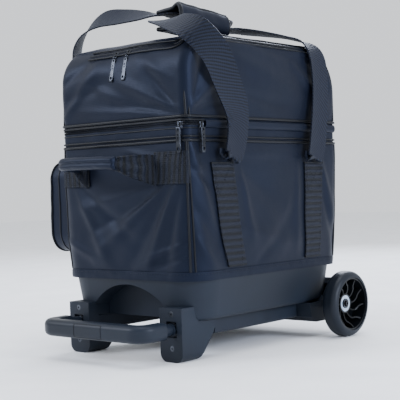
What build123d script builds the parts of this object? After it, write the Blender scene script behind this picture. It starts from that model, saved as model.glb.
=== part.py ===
"""A wheeled bag for one bowling ball, with a telescopic pull handle stowed under its base.

Every shape is drawn with x from the middle plane, y back from the front of the feet and z up from the
floor, then moved back so that the origin is under the middle of the whole object."""
from build123d import *
from math import cos, pi, radians, sin
import os

# overall sizes
body_width = 298.0
body_depth = 406.0
body_front = 7.0
body_bottom = 127.0
body_top = 342.0
neck_width = 282.0
neck_depth = 410.0
neck_front = 9.0
zip_line = 367.4
lid_start = 377.0
lid_top = 508.0
lid_front_radius = 60.0
lid_rear_radius = 75.0
grip_reach = 80.0
rear_reach = 431.0

# walls and clearances
fabric_wall = 5.0
zip_wall = 3.0
lid_wall = 4.0
board_wall = 1.6
tray_wall = 4.0
soft_gap = 0.3
slide_gap = 0.2
running_gap = 0.05
webbing = 2.6
webbing_width = 50.0

# fabric corners
hem_radius = 45.0
neck_radius = 12.0
lid_edge_radius = 12.0

# base tray
tray_width = 298.0
tray_depth = 401.0
tray_front = 8.0
tray_draft = 11.0
tray_bottom = 61.0
tray_radius = 60.0
tray_bottom_radius = 8.0
arch_half_width = 81.0
arch_spring = 80.0
arch_rise = 36.0
arch_depth = 30.0
slope_start = 350.0
slope_knee = (397.0, 101.0)

# feet
foot_middle = 103.0
foot_width = 46.0
foot_height = 84.0
foot_corner = 14.0
foot_sole = 45.0
foot_plate = 4.0
window_width = 21.0
window_height = 25.0
screw_heights = (21.5, 74.8)
screw_radius = 2.5
screw_head_radius = 4.4

# pull handle
tube_middle = 104.5
tube_height = 51.0
outer_tube_radius = 9.5
middle_tube_radius = 8.0
inner_tube_radius = 6.5
tube_wall = 1.3
outer_tube_end = 330.0
middle_tube_start = 5.0
middle_tube_end = 322.0
inner_tube_start = -48.0
inner_tube_end = 316.0
rod_radius = 2.5
grip_height = 27.0
grip_wall = 3.0
grip_corner = 18.0
grip_edge = 9.0
grip_leg_end = -24.0
collar_radius = 10.0
collar_step_radius = 8.6
button_width = 60.0
button_height = 21.0
button_depth = 6.0
button_travel = 4.0
spring_wire = 0.5
spring_radius = 3.9
spring_turns = 6
spring_length = 26.2
spring_start = -6.6
pin_radius = 2.0
pin_root = 1.0

# wheels
wheel_radius = 57.0
tyre_width = 31.0
tyre_shoulder = 11.0
wheel_outer_face = 202.2
rim_radius = 46.0
rim_wall = 3.0
rib_count = 10
rib_thickness = 2.2
axle_back = 364.0
axle_radius = 6.0
bearing_radius = 14.0
bearing_width = 8.0
hub_wall = 3.0
hub_recess = 16.0
hub_length = 20.0
housing_half_width = 146.0
housing_wall = 4.0

# top flap, sliders and pulls
flap_left = -79.0
flap_right = 118.0
flap_front = 25.5
flap_rear = 392.0
top_slider_places = (-15.0, 12.0)
front_slider_place = 129.0
side_slider_place = 39.5
side_slider_gap = 0.8
slider_width = 9.0
slider_height = 11.0
slider_depth = 4.2
pull_length = 37.0
pull_width = 8.0
pull_thickness = 1.6
pull_lean = 14.0
pull_eye_bar = 1.6
pull_hinge_gap = 1.8
top_pull_gap = 4.2

# carry straps, grab handles and pocket
strap_front = 95.0
strap_rear = 330.0
right_anchor_top = 312.0
left_anchor_top = 338.0
wrap_front = 114.0
wrap_rear = 240.0
wrap_left = -12.0
wrap_bottom = 534.0
wrap_height = 46.0
wrap_width = 59.0
wrap_wall = 5.0
patch_inner = 67.0
patch_outer = 136.0
patch_bottom = 275.0
patch_top = 325.0
grab_reach = 52.0
grab_left = 90.0
grab_right = 62.0
grab_height = 309.0
grab_thickness = 16.0
grab_depth = 21.0
grab_edge = 7.0
grab_gap = 1.2
strap_root_gap = 2.0
pocket_outer = 203.0
pocket_bottom = 166.0
pocket_top = 320.0
pocket_front = 22.0
pocket_rear = 398.0
pocket_corner = 26.0
pocket_edge = 14.0
pocket_wall = 3.0

middle_y = (rear_reach - grip_reach) / 2
body_middle = body_front + body_depth / 2
neck_middle = neck_front + neck_depth / 2
wheel_height = wheel_radius


def save(name, *shapes):
    solids = [solid for shape in shapes for solid in shape.solids()]
    moved = [Pos(0, -middle_y, 0) * solid for solid in solids]
    export_step(moved[0] if len(moved) == 1 else Compound(children=moved), f"parts/{name}.step")


def box(low, high):
    size = [b - a for a, b in zip(low, high)]
    middle = [(a + b) / 2 for a, b in zip(low, high)]
    return Pos(*middle) * Box(*size)


def rod_along_y(x, z, radius, start, end):
    return Pos(x, (start + end) / 2, z) * Rot(90, 0, 0) * Cylinder(radius, end - start)


def rod_along_x(y, z, radius, start, end):
    return Pos((start + end) / 2, y, z) * Rot(0, 90, 0) * Cylinder(radius, end - start)


def tube_along_y(x, radius, wall, start, end):
    outside = rod_along_y(x, tube_height, radius, start, end)
    return outside - rod_along_y(x, tube_height, radius - wall, start - 1, end + 1)


def side_prism(points, low, high):
    """A prism along x from an outline of (y, z) points."""
    outline = make_face(Polyline(*[(low, y, z) for y, z in points], close=True))
    return extrude(outline, amount=high - low, dir=(1, 0, 0))


def wall_x(z):
    """Half-width of the fabric body at a height."""
    share = (z - body_bottom) / (body_top - body_bottom)
    return (body_width + share * (neck_width - body_width)) / 2


def wall_y(z):
    """Front of the fabric body at a height."""
    share = (z - body_bottom) / (body_top - body_bottom)
    return body_front + share * (neck_front - body_front)


# ---- base ----

def tray_block(inset):
    top = Plane((0, tray_front + tray_depth / 2, body_bottom)) * RectangleRounded(
        tray_width - 2 * inset, tray_depth - 2 * inset, tray_radius - inset)
    bottom = Plane((0, tray_front + tray_depth / 2, tray_bottom + inset)) * RectangleRounded(
        tray_width - 2 * tray_draft - 2 * inset, tray_depth - 2 * tray_draft - 2 * inset,
        tray_radius - tray_draft - inset)
    block = loft([bottom, top])
    floor_edges = block.faces().sort_by(Axis.Z)[0].edges()
    block = fillet(floor_edges, tray_bottom_radius - inset)
    knee_y, knee_z = slope_knee
    rear = tray_front + tray_depth + 20
    slope = [(slope_start - inset, tray_bottom - 10), (slope_start - inset, tray_bottom),
             (knee_y - inset, knee_z), (knee_y + 12 - inset, body_bottom - 3), (rear, body_bottom - 3),
             (rear, tray_bottom - 10)]
    return block - side_prism(slope, -tray_width, tray_width)


def arch_block(grow, depth):
    half, top = arch_half_width + grow, arch_spring + arch_rise + grow
    low = tray_bottom - 10
    arc = ThreePointArc((-half, 0, arch_spring), (0, 0, top), (half, 0, arch_spring))
    legs = Polyline((half, 0, arch_spring), (half, 0, low), (-half, 0, low), (-half, 0, arch_spring))
    return extrude(make_face([arc, legs]), amount=depth, dir=(0, 1, 0))


def base_tray():
    outside = tray_block(0)
    cavity = tray_block(tray_wall)
    niche_back = tray_front + tray_draft + arch_depth
    niche_wall = outside & arch_block(tray_wall, niche_back + tray_wall)
    tray = (outside - cavity) + niche_wall - arch_block(0, niche_back)
    for side in (-1, 1):
        height = screw_heights[1]
        tray -= rod_along_y(side * tube_middle, height, screw_radius, 0, tray_front + 30)
    return tray


def ball_cup():
    ball_radius, seat_height, cup_radius, cup_bore = 109.0, 100.0, 98.0, 40.0
    cup_top = body_bottom - 4
    middle = tray_front + tray_depth / 2
    floor = tray_bottom + tray_wall + soft_gap
    ring = Pos(0, middle, (floor + cup_top) / 2) * Cylinder(cup_radius, cup_top - floor)
    ring -= Pos(0, middle, floor + seat_height) * Sphere(ball_radius)
    return ring - Pos(0, middle, floor) * Cylinder(cup_bore, 2 * (cup_top - floor) + 10)


def tube_channel(side, start, end):
    """The room for an outer tube, open upwards to the underside of the tray."""
    radius = outer_tube_radius + slide_gap
    x = side * tube_middle
    return rod_along_y(x, tube_height, radius, start, end) + box(
        (x - radius, start, tube_height), (x + radius, end, tray_bottom))


def foot(side):
    middle = side * foot_middle
    half = foot_width / 2
    profile = [(0, 0), (foot_sole, 0), (foot_sole + 4, 9), (75, 40), (84, tray_bottom - soft_gap),
               (40, tray_bottom - soft_gap), (30, foot_height), (0, foot_height)]
    block = side_prism(profile, middle - half, middle + half)
    front = extrude(Pos(middle, 0, foot_height) * Rot(90, 0, 0) * RectangleRounded(
        foot_width, 2 * foot_height, foot_corner), amount=200, both=True)
    block = block & front
    tray_outside = tray_block(-soft_gap)
    block -= tray_outside
    block -= tube_channel(side, foot_plate, 200)
    block -= box((side * tube_middle - window_width / 2, -1, tube_height - window_height / 2),
                 (side * tube_middle + window_width / 2, foot_plate + 1, tube_height + window_height / 2))
    for height in screw_heights:
        block -= rod_along_y(side * tube_middle, height, screw_radius, -1, 30)
        block -= rod_along_y(side * tube_middle, height, screw_head_radius + slide_gap, -1, 2.6)
    return block


def foot_screws():
    screws = []
    for side in (-1, 1):
        for height in screw_heights:
            shank = rod_along_y(side * tube_middle, height, screw_radius, 2, 24)
            head = rod_along_y(side * tube_middle, height, screw_head_radius, 0.3, 2.6)
            socket = rod_along_y(side * tube_middle, height, 1.6, -1, 1.8)
            screws.append(shank + head - socket)
    return screws


def rail_cover(side):
    start, end, half, low = 87.0, 311.0, 14.0, 34.0
    block = box((side * tube_middle - half, start, low),
                (side * tube_middle + half, end, tray_bottom - soft_gap))
    edges = block.edges().filter_by(Axis.Y).sort_by(Axis.Z)[:2]
    block = fillet(edges, 6)
    return block - tube_channel(side, start - 1, end + 1)


def axle_housing():
    knee_y, knee_z = slope_knee
    outline = [(312, tray_bottom - 0.5), (317, 36), (332, 26), (390, 26), (401, 40), (404, 96),
               (knee_y - 4, knee_z - 2), (slope_start - 5, tray_bottom - 0.5)]
    block = side_prism(outline, -housing_half_width, housing_half_width)
    block -= tray_block(-soft_gap)
    lift = housing_wall
    hollow = [(312 + lift, 80), (320 + lift, 38), (334, 26 + lift), (388, 26 + lift), (397, 42), (399, 92)]
    inside = side_prism(hollow, -housing_half_width + lift, housing_half_width - lift)
    for side in (-1, 1):
        inside -= box((side * tube_middle - 14, 300, 0), (side * tube_middle + 14, 338, 80))
    inside -= box((-4, 300, 0), (4, 420, 100))
    boss = rod_along_x(axle_back, wheel_height, axle_radius + 6, -housing_half_width, housing_half_width)
    block = block - inside + (boss - tray_block(-soft_gap))
    for side in (-1, 1):
        block -= rod_along_y(side * tube_middle, tube_height, outer_tube_radius + running_gap,
                             300, outer_tube_end + 1)
    return block - rod_along_x(axle_back, wheel_height, axle_radius + running_gap, -200, 200)


# ---- wheels ----

def hub_ends():
    outer = wheel_outer_face - hub_recess
    return outer - hub_length, outer


def turned(points):
    """A solid of revolution about the axle from an outline of (x, radius) points."""
    outline = make_face(Polyline(*[(x, axle_back + r, wheel_height) for x, r in points], close=True))
    return revolve(outline, Axis((0, axle_back, wheel_height), (1, 0, 0)))


def tyre(side):
    inner = wheel_outer_face - tyre_width
    outline = Plane.XY.offset(wheel_height) * Pos(inner + tyre_width / 2, axle_back + wheel_radius / 2) * (
        RectangleRounded(tyre_width, wheel_radius, tyre_shoulder))
    solid = revolve(outline & Plane.XY.offset(wheel_height) * Pos(
        inner + tyre_width / 2, axle_back + (rim_radius + wheel_radius) / 2) * Rectangle(
        tyre_width, wheel_radius - rim_radius), Axis((0, axle_back, wheel_height), (1, 0, 0)))
    return solid if side > 0 else mirror(solid, Plane.YZ)


def rim(side):
    hub_start, hub_end = hub_ends()
    inner, outer = wheel_outer_face - tyre_width + 2, wheel_outer_face - 2
    hub_outside = bearing_radius + hub_wall
    barrel = turned([(inner, rim_radius - rim_wall), (outer, rim_radius - rim_wall), (outer, rim_radius),
                     (inner, rim_radius)])
    hub = turned([(hub_start, bearing_radius), (hub_end, bearing_radius), (hub_end, hub_outside),
                  (hub_start, hub_outside)])
    stop = turned([(hub_start + bearing_width, bearing_radius - 1.5),
                   (hub_end - bearing_width, bearing_radius - 1.5), (hub_end - bearing_width, bearing_radius),
                   (hub_start + bearing_width, bearing_radius)])
    back = turned([(inner, hub_outside - 1), (inner + 3, hub_outside - 1), (inner + 3, rim_radius - 1),
                   (inner, rim_radius - 1)])
    envelope = turned([(inner + 1, hub_outside - 1), (hub_end - 1, hub_outside - 1), (hub_end + 3, 30),
                       (outer - 3, rim_radius - 1), (inner + 1, rim_radius - 1)])
    middle_radius, bend = (hub_outside + rim_radius) / 2, 4.0
    start = (hub_outside - 0.5, 0)
    waist = (middle_radius * cos(radians(13)), middle_radius * sin(radians(13)))
    end = ((rim_radius - 0.5) * cos(radians(30)), (rim_radius - 0.5) * sin(radians(30)))
    first = ThreePointArc(start, ((start[0] + waist[0]) / 2 + bend / 3, (start[1] + waist[1]) / 2 - bend / 2),
                          waist)
    second = ThreePointArc(waist, ((waist[0] + end[0]) / 2 - bend / 3, (waist[1] + end[1]) / 2 + bend / 2), end)
    flat_rib = trace([first, second], rib_thickness)
    upright = Plane((inner + 1, axle_back, wheel_height), x_dir=(0, 1, 0), z_dir=(1, 0, 0))
    rib = extrude(upright * flat_rib, amount=outer - inner, dir=(1, 0, 0)) & envelope
    wheel = barrel + hub + stop + back
    for turn in range(rib_count):
        wheel += rib.rotate(Axis((0, axle_back, wheel_height), (1, 0, 0)), 360 / rib_count * turn)
    return wheel if side > 0 else mirror(wheel, Plane.YZ)


def bearing_outer_rings(side):
    hub_start, hub_end = hub_ends()
    rings = []
    for start in (hub_start, hub_end - bearing_width):
        end, land, shield = start + bearing_width, bearing_radius - 2, 8.6
        ring = turned([(start, shield), (start + 0.8, shield), (start + 0.8, land), (end - 0.8, land),
                       (end - 0.8, shield), (end, shield), (end, bearing_radius), (start, bearing_radius)])
        rings.append(ring if side > 0 else mirror(ring, Plane.YZ))
    return rings


def on_both_sides(shape):
    return [shape, mirror(shape, Plane.YZ)]


def bearing_inner_rings():
    hub_start, hub_end = hub_ends()
    rings = []
    for start in (hub_start, hub_end - bearing_width):
        ring = turned([(start, axle_radius), (start + bearing_width, axle_radius),
                       (start + bearing_width, 8.5), (start, 8.5)])
        rings += on_both_sides(ring)
    return rings


def axle_spacers():
    hub_start, hub_end = hub_ends()
    long_one = turned([(housing_half_width, axle_radius), (hub_start, axle_radius), (hub_start, 8.4),
                       (housing_half_width, 8.4)])
    short_one = turned([(hub_start + bearing_width, axle_radius), (hub_end - bearing_width, axle_radius),
                        (hub_end - bearing_width, 8.4), (hub_start + bearing_width, 8.4)])
    return on_both_sides(long_one) + on_both_sides(short_one)


def axle():
    end = hub_ends()[1]
    shaft = rod_along_x(axle_back, wheel_height, axle_radius, -end, end)
    for side in (-1, 1):
        shaft -= rod_along_x(axle_back, wheel_height, 2.5, min(side * (end - 15), side * (end + 1)),
                             max(side * (end - 15), side * (end + 1)))
    return shaft


def axle_screws():
    end = hub_ends()[1]
    shank = rod_along_x(axle_back, wheel_height, 2.5, end - 14, end + 1)
    head = turned([(end, 0), (end, 8.2), (end + 1.4, 8.2), (end + 1.4, 5), (end + 4, 4), (end + 4, 0)])
    socket = rod_along_x(axle_back, wheel_height, 2, end + 2, end + 5)
    return on_both_sides(shank + head - socket)


# ---- pull handle ----

def grip_sweep(shrink):
    reach = -grip_reach + grip_height / 2
    path = FilletPolyline((-tube_middle, grip_leg_end, tube_height), (-tube_middle, reach, tube_height),
                          (tube_middle, reach, tube_height), (tube_middle, grip_leg_end, tube_height),
                          radius=grip_corner)
    size = grip_height - 2 * shrink
    start = Plane((-tube_middle, grip_leg_end, tube_height), x_dir=(1, 0, 0), z_dir=(0, -1, 0))
    return sweep(start * RectangleRounded(size, size, grip_edge - shrink), path)


def grip_halves():
    hollow = grip_sweep(grip_wall) - box((-200, inner_tube_start + 2, 0), (200, 0, 100))
    grip = grip_sweep(0) - hollow
    for side in (-1, 1):
        grip -= rod_along_y(side * tube_middle, tube_height, inner_tube_radius, inner_tube_start, 0)
        grip -= rod_along_y(side * tube_middle, tube_height, inner_tube_radius - tube_wall, -60, 0)
    half = button_width / 2
    grip -= box((-half, -grip_reach - 1, tube_height - button_height / 2),
                (half, -grip_reach + button_depth + button_travel + 2, tube_height + button_height / 2))
    upper = grip & box((-150, -100, tube_height), (150, 0, tube_height + 30))
    lower = grip & box((-150, -100, tube_height - 30), (150, 0, tube_height))
    return upper, lower


def grip_collars():
    collars = []
    for side in (-1, 1):
        x = side * tube_middle
        collar = rod_along_y(x, tube_height, collar_radius, grip_leg_end, -12)
        collar += rod_along_y(x, tube_height, collar_step_radius, -12, -5)
        collar += rod_along_y(x, tube_height, collar_radius - 0.4, -5, -1)
        collars.append(collar - rod_along_y(x, tube_height, inner_tube_radius, -60, 0))
    return collars


def release_button():
    half = button_width / 2 - soft_gap
    height = button_height / 2 - soft_gap
    plate = grip_sweep(0) & box((-half, -grip_reach, tube_height - height),
                                (half, -grip_reach + button_depth, tube_height + height))
    return plate + box((-12, -grip_reach + button_depth - 1, tube_height - 4), (12, -68, tube_height + 4))


def release_bar():
    half = tube_middle + 1.5
    return box((-half, -68, tube_height - 4), (half, -62, tube_height + 4))


def push_rods():
    rods = []
    for side in (-1, 1):
        x = side * tube_middle
        rod = rod_along_y(x, tube_height, rod_radius, -62, 290)
        rods.append(rod + rod_along_y(x, tube_height, 4.5, -36, -34))
    return rods


def rod_bushes():
    bushes = []
    for side in (-1, 1):
        x = side * tube_middle
        bush = rod_along_y(x, tube_height, inner_tube_radius - tube_wall, -6, 2)
        bushes.append(bush - rod_along_y(x, tube_height, rod_radius + running_gap, -7, 3))
    return bushes


def button_springs():
    springs = []
    for side in (-1, 1):
        path = Helix(spring_length / spring_turns, spring_length, spring_radius)
        start = Plane(path @ 0, z_dir=path % 0)
        coil = sweep(start * Circle(spring_wire), path, is_frenet=True)
        springs.append(Pos(side * tube_middle, spring_start, tube_height) * Rot(90, 0, 0) * coil)
    return springs


def inner_tube(side):
    tube = tube_along_y(side * tube_middle, inner_tube_radius, tube_wall, inner_tube_start, inner_tube_end)
    hole_ends = sorted((side * tube_middle, side * (tube_middle + 2 * inner_tube_radius)))
    return tube - rod_along_x(pin_place(), tube_height, pin_radius + 0.1, *hole_ends)


def pin_place():
    return inner_tube_end - 13


def inner_guides():
    guides = []
    for side in (-1, 1):
        x = side * tube_middle
        guide = rod_along_y(x, tube_height, inner_tube_radius - tube_wall, inner_tube_end - 22,
                            inner_tube_end - 2)
        guides.append(guide - rod_along_x(pin_place(), tube_height, pin_radius + running_gap, x - 9, x + 9))
    return guides


def lock_pin(side):
    inner, tip = pin_root, middle_tube_radius - tube_wall - soft_gap
    x = side * tube_middle
    ends = sorted((x + side * inner, x + side * tip))
    return rod_along_x(pin_place(), tube_height, pin_radius, ends[0], ends[1])


# ---- fabric body ----

def body_ring(outside, inside, low, high):
    """A slice of the tapered fabric body between two insets from its outer face."""
    def block(inset, bottom, top):
        faces = []
        for z in (bottom, top):
            share = (z - body_bottom) / (body_top - body_bottom)
            width = body_width + share * (neck_width - body_width)
            depth = body_depth + share * (neck_depth - body_depth)
            middle = body_middle + share * (neck_middle - body_middle)
            radius = hem_radius + share * (neck_radius - hem_radius)
            faces.append(Plane((0, middle, z)) * RectangleRounded(
                width - 2 * inset, depth - 2 * inset, max(radius - inset, 2)))
        return loft(faces)
    return block(outside, low, high) - block(inside, low, high)


def body_shell():
    return body_ring(0, fabric_wall, body_bottom + soft_gap, body_top)


def stiffeners():
    start = fabric_wall + soft_gap
    ring = body_ring(start, start + board_wall, body_bottom + 4, body_top - 6)
    reach = body_depth
    sides = ring & box((-body_width, body_middle - 140, 0), (body_width, body_middle + 140, 500))
    ends = ring & box((-90, -reach, 0), (90, 2 * reach, 500))
    return sides, ends


def neck_ring(low, high):
    outside = Plane((0, neck_middle, low)) * RectangleRounded(neck_width, neck_depth, neck_radius)
    inside = Plane((0, neck_middle, low)) * RectangleRounded(
        neck_width - 2 * zip_wall, neck_depth - 2 * zip_wall, neck_radius - zip_wall)
    return extrude(outside - inside, amount=high - low)


def lid_block(inset):
    low = lid_start + inset
    front, rear, top = neck_front + inset, neck_front + neck_depth - inset, lid_top - inset
    front_r, rear_r = lid_front_radius - inset, lid_rear_radius - inset
    half = neck_width / 2 - inset
    bend = 1 - cos(pi / 4)
    outline = [
        Line((-half, front, low), (-half, front, top - front_r)),
        ThreePointArc((-half, front, top - front_r), (-half, front + front_r * bend, top - front_r * bend),
                      (-half, front + front_r, top)),
        Line((-half, front + front_r, top), (-half, rear - rear_r, top)),
        ThreePointArc((-half, rear - rear_r, top), (-half, rear - rear_r * bend, top - rear_r * bend),
                      (-half, rear, top - rear_r)),
        Line((-half, rear, top - rear_r), (-half, rear, low)),
        Line((-half, rear, low), (-half, front, low)),
    ]
    block = extrude(make_face(outline), amount=2 * half, dir=(1, 0, 0))
    caps = block.faces().filter_by(Axis.X)
    rims = [edge for cap in caps for edge in cap.edges() if edge.center().Z > low + 1]
    return fillet(rims, lid_edge_radius - inset)


def flap_window(gap):
    return box((flap_left - gap, flap_front - gap, lid_start + 60), (flap_right + gap, flap_rear + gap, 600))


def lid_shell():
    shell = lid_block(0) - lid_block(lid_wall)
    inside = Plane((0, neck_middle, lid_start - 1)) * RectangleRounded(
        neck_width - 2 * lid_wall, neck_depth - 2 * lid_wall, neck_radius - lid_wall)
    shell -= extrude(inside, amount=lid_wall + 2)
    return shell - flap_window(0.5)


def lid_floor():
    inset = lid_wall + soft_gap
    floor = Plane((0, neck_middle, lid_start + 1)) * RectangleRounded(
        neck_width - 2 * inset, neck_depth - 2 * inset, neck_radius - inset)
    return extrude(floor, amount=3)


def top_flap():
    return (lid_block(0) - lid_block(lid_wall)) & flap_window(0)


def side_pocket():
    length, height = pocket_rear - pocket_front, pocket_top - pocket_bottom
    middle = ((pocket_rear + pocket_front) / 2, (pocket_top + pocket_bottom) / 2)

    def block(inset, start):
        face = Plane((-start, *middle), x_dir=(0, 1, 0), z_dir=(-1, 0, 0)) * RectangleRounded(
            length - 2 * inset, height - 2 * inset, pocket_corner - inset)
        return extrude(face, amount=pocket_outer - inset - start)
    low = neck_width / 2 - 10
    solid, hollow = block(0, low), block(pocket_wall, low - 1)
    solid = fillet(solid.faces().sort_by(Axis.X)[0].edges(), pocket_edge)
    hollow = fillet(hollow.faces().sort_by(Axis.X)[0].edges(), pocket_edge - pocket_wall)
    return solid - hollow - body_ring(-soft_gap, 60, body_bottom, body_top)


# ---- webbing ----

def ribbon(route, width, thickness):
    """A webbing strap as flat facets: each stop is (x, y, z, direction across the webbing)."""
    places = [Vector(*stop[:3]) for stop in route]
    corners = []
    for index, stop in enumerate(route):
        before, after = places[max(index - 1, 0)], places[min(index + 1, len(places) - 1)]
        across = Vector(*stop[3]).normalized()
        along = (after - before).normalized()
        across = (across - along * across.dot(along)).normalized() * (width / 2)
        out = along.cross(across).normalized() * (thickness / 2)
        middle = places[index]
        corners.append([middle - across - out, middle + across - out, middle + across + out,
                        middle - across + out])
    faces = []

    def triangle(a, b, c):
        faces.append(Face(Wire.make_polygon([a, b, c], close=True)))
    for one, two in zip(corners, corners[1:]):
        for i in range(4):
            j = (i + 1) % 4
            # opposite faces share a diagonal, so that the strap keeps its thickness where it twists
            triangle(one[i], one[j], two[i] if i < 2 else two[j])
            triangle(one[j] if i < 2 else one[i], two[j], two[i])
    for end in (corners[0], corners[-1]):
        triangle(end[0], end[1], end[2])
        triangle(end[0], end[2], end[3])
    return Solid(Shell(faces))


def anchor_strips():
    strips = []
    for y in (strap_front, strap_rear):
        for side, low, high in ((1, 142.0, right_anchor_top), (-1, pocket_top + 2, left_anchor_top)):
            ends = [(side * (wall_x(low) + soft_gap), low), (side * (wall_x(high) + soft_gap), high),
                    (side * (wall_x(high) + soft_gap + webbing), high),
                    (side * (wall_x(low) + soft_gap + webbing), low)]
            start = y - webbing_width / 2
            face = make_face(Polyline(*[(x, start, z) for x, z in ends], close=True))
            strips.append(extrude(face, amount=webbing_width, dir=(0, 1, 0)))
    return strips


def carry_strap_right():
    back = (0, -1, 0)
    route = [
        (150.5, strap_front + 2, right_anchor_top + strap_root_gap, (0, 1, 0)),
        (151.5, strap_front + 2, right_anchor_top + 8, (0, 1, 0)), (157, strap_front + 9, 336, (0, 1, -0.1)),
        (160, 110, 365, (0.1, 1, 0.1)), (162, 104, 395, (0.3, 1, 0.3)), (164, 82, 432, (0.6, 1, 0.5)),
        (167, 51, 475, (0.8, 0.8, 0.6)), (149, 27, 509, (0.9, 0.5, 0.5)), (102, 36, 528, (1, 0.5, 0.3)),
        (58, 56, 538, (1, 0.5, 0.1)), (30, 84, 544, (1, 0.35, 0)), (17, 107, 546, (1, 0.05, 0)),
        (17, 277, 546, (1, -0.05, 0)), (30, 294, 545, (1, -0.4, 0)), (66, 312, 538, (0.8, -0.8, 0)),
        (105, 330, 528, (0.4, -1, 0)), (134, 343, 516, (0.1, -1, 0.1)), (149, 352, 492, back),
        (153, 354, 450, back), (154, 350, 400, back), (155, 340, 350, back),
        (150.5, strap_rear, right_anchor_top + strap_root_gap, back),
    ]
    return ribbon(route, webbing_width - 4, webbing)


def carry_strap_left():
    back, forth = (0, -1, 0), (0, 1, 0)
    route = [
        (-149, strap_front, left_anchor_top + strap_root_gap, back),
        (-149.5, strap_front, left_anchor_top + 8, back), (-153, 90, 380, back), (-157, 80, 430, (0.3, -1, 0)),
        (-159, 68, 485, (0.5, -0.9, 0)), (-155, 68, 522, (0.4, -0.8, -0.3)), (-136, 74, 549, (0.2, -0.8, -0.6)),
        (-106, 80, 563, (0.1, -0.8, -0.8)), (-70, 88, 563, (0.2, -0.8, -0.7)),
        (-38, 100, 562, (0.4, -0.8, -0.5)), (-12, 118, 562, (0.8, -0.6, -0.2)), (10, 145, 561, (1, 0, 0)),
        (10, 245, 561, (1, 0, 0)),
        (-12, 282, 562, (1, 0.5, 0)), (-50, 306, 556, (0.6, 1, 0)), (-100, 320, 544, (0.2, 1, 0)),
        (-145, 328, 520, forth), (-166, 332, 480, forth), (-166, 333, 430, forth), (-158, 332, 380, forth),
        (-149, strap_rear, left_anchor_top + strap_root_gap, forth),
    ]
    return ribbon(route, webbing_width - 4, webbing)


def handle_wrap():
    """A padded sleeve round both straps, open on the left so that the left strap can leave it."""
    left, right = wrap_left, wrap_left + wrap_width
    top = wrap_bottom + wrap_height
    outside = box((left, wrap_front, wrap_bottom), (right, wrap_rear, top))
    outside = fillet(outside.edges().filter_by(Axis.Y).sort_by(Axis.X)[2:], 16)
    inside = box((left - 1, wrap_front - 1, wrap_bottom + wrap_wall),
                 (right - wrap_wall, wrap_rear + 1, top - wrap_wall))
    inside = fillet(inside.edges().filter_by(Axis.Y).sort_by(Axis.X)[2:], 11)
    return outside - inside


def front_patches():
    patches = []
    for side in (-1, 1):
        low, high = sorted((side * patch_inner, side * patch_outer))
        outline = [(wall_y(patch_bottom) - soft_gap, patch_bottom), (wall_y(patch_top) - soft_gap, patch_top),
                   (wall_y(patch_top) - soft_gap - webbing, patch_top),
                   (wall_y(patch_bottom) - soft_gap - webbing, patch_bottom)]
        patches.append(side_prism(outline, low, high))
    return patches


def front_grab_handle():
    nearest = min(wall_y(grab_height - grab_depth / 2), wall_y(grab_height + grab_depth / 2))
    start = nearest - soft_gap - webbing - grab_gap
    ends = patch_inner + grab_edge + 4
    path = FilletPolyline((-ends, start, grab_height), (-grab_left, -grab_reach, grab_height),
                          (grab_right, -grab_reach, grab_height), (ends, start, grab_height), radius=24)
    section = Plane((-ends, start, grab_height), x_dir=(1, 0, 0), z_dir=(0, -1, 0)) * RectangleRounded(
        grab_thickness, grab_depth, grab_edge)
    return sweep(section, path)


def rear_grab_handle():
    wall = neck_front + neck_depth + soft_gap
    half, low, high, foot_length, loop_wall = 62.0, 263.0, 290.0, 12.0, 4.0
    loop = box((-half, wall - foot_length, low), (half, rear_reach, high))
    loop = fillet(loop.edges().filter_by(Axis.Z).sort_by(Axis.Y)[2:], 8)
    loop -= box((-half + foot_length, wall - 20, low - 1),
                (half - foot_length, rear_reach - loop_wall, high + 1))
    return loop - body_ring(-soft_gap, 60, body_bottom, body_top)


# ---- zip sliders and pulls ----

def slider(x, y, z):
    """A slider with its bail, facing -y, its back plane at y."""
    body = box((x - slider_width / 2, y - slider_depth + 1.6, z - slider_height / 2),
               (x + slider_width / 2, y, z + slider_height / 2))
    body = fillet(body.edges().filter_by(Axis.Y), 2)
    bail = box((x - 1, y - slider_depth, z - slider_height / 2 + 1), (x + 1, y, z + slider_height / 2 - 2))
    slot = box((x - 2, y - slider_depth + 0.9, z - 3.4), (x + 2, y - slider_depth + 1.9, z + 1.4))
    return body + bail - slot


def pull(x, y, z):
    """A pull tab that hangs from a hinge line at (y, z), thickness along y."""
    tab = box((x - pull_width / 2, y - pull_thickness / 2, z - pull_length),
              (x + pull_width / 2, y + pull_thickness / 2, z + pull_eye_bar - 0.6))
    tab = fillet(tab.edges().filter_by(Axis.Y), 2.5)
    tab -= Pos(x, y, z - pull_length + 5) * Rot(90, 0, 0) * Cylinder(2.6, 10)
    return tab - box((x - 2.2, y - 2, z - 6), (x + 2.2, y + 2, z - 0.6))


def front_slider():
    return slider(front_slider_place, neck_front - soft_gap, zip_line - 3)


def front_pull():
    return pull(front_slider_place, neck_front - soft_gap - slider_depth - pull_hinge_gap, zip_line - 8)


def to_side(shape):
    """Turn a slider drawn facing -y so that it faces +x on the right side."""
    turned_shape = Rot(0, 0, 90) * shape
    return Pos(neck_width / 2 + side_slider_gap, side_slider_place, 0) * turned_shape


def top_slider(x):
    shape = slider(0, 0, 0)
    return Pos(x, *top_slider_seat()) * Rot(-lid_tilt(), 0, 0) * shape


def lid_tilt():
    return 38.0


def top_slider_seat():
    """Where the front curve of the lid faces up by the tilt, a little outside the fabric."""
    reach = lid_front_radius + soft_gap + 0.4
    centre_y, centre_z = neck_front + lid_front_radius, lid_top - lid_front_radius
    return centre_y - reach * cos(radians(lid_tilt())), centre_z + reach * sin(radians(lid_tilt()))


def top_pull(x):
    seat_y, seat_z = top_slider_seat()
    hinge_y = seat_y - slider_depth * cos(radians(lid_tilt())) - top_pull_gap
    hinge_z = seat_z - 6
    shape = pull(0, 0, 0)
    return Pos(x, hinge_y, hinge_z) * Rot(-pull_lean, 0, 0) * shape


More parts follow.
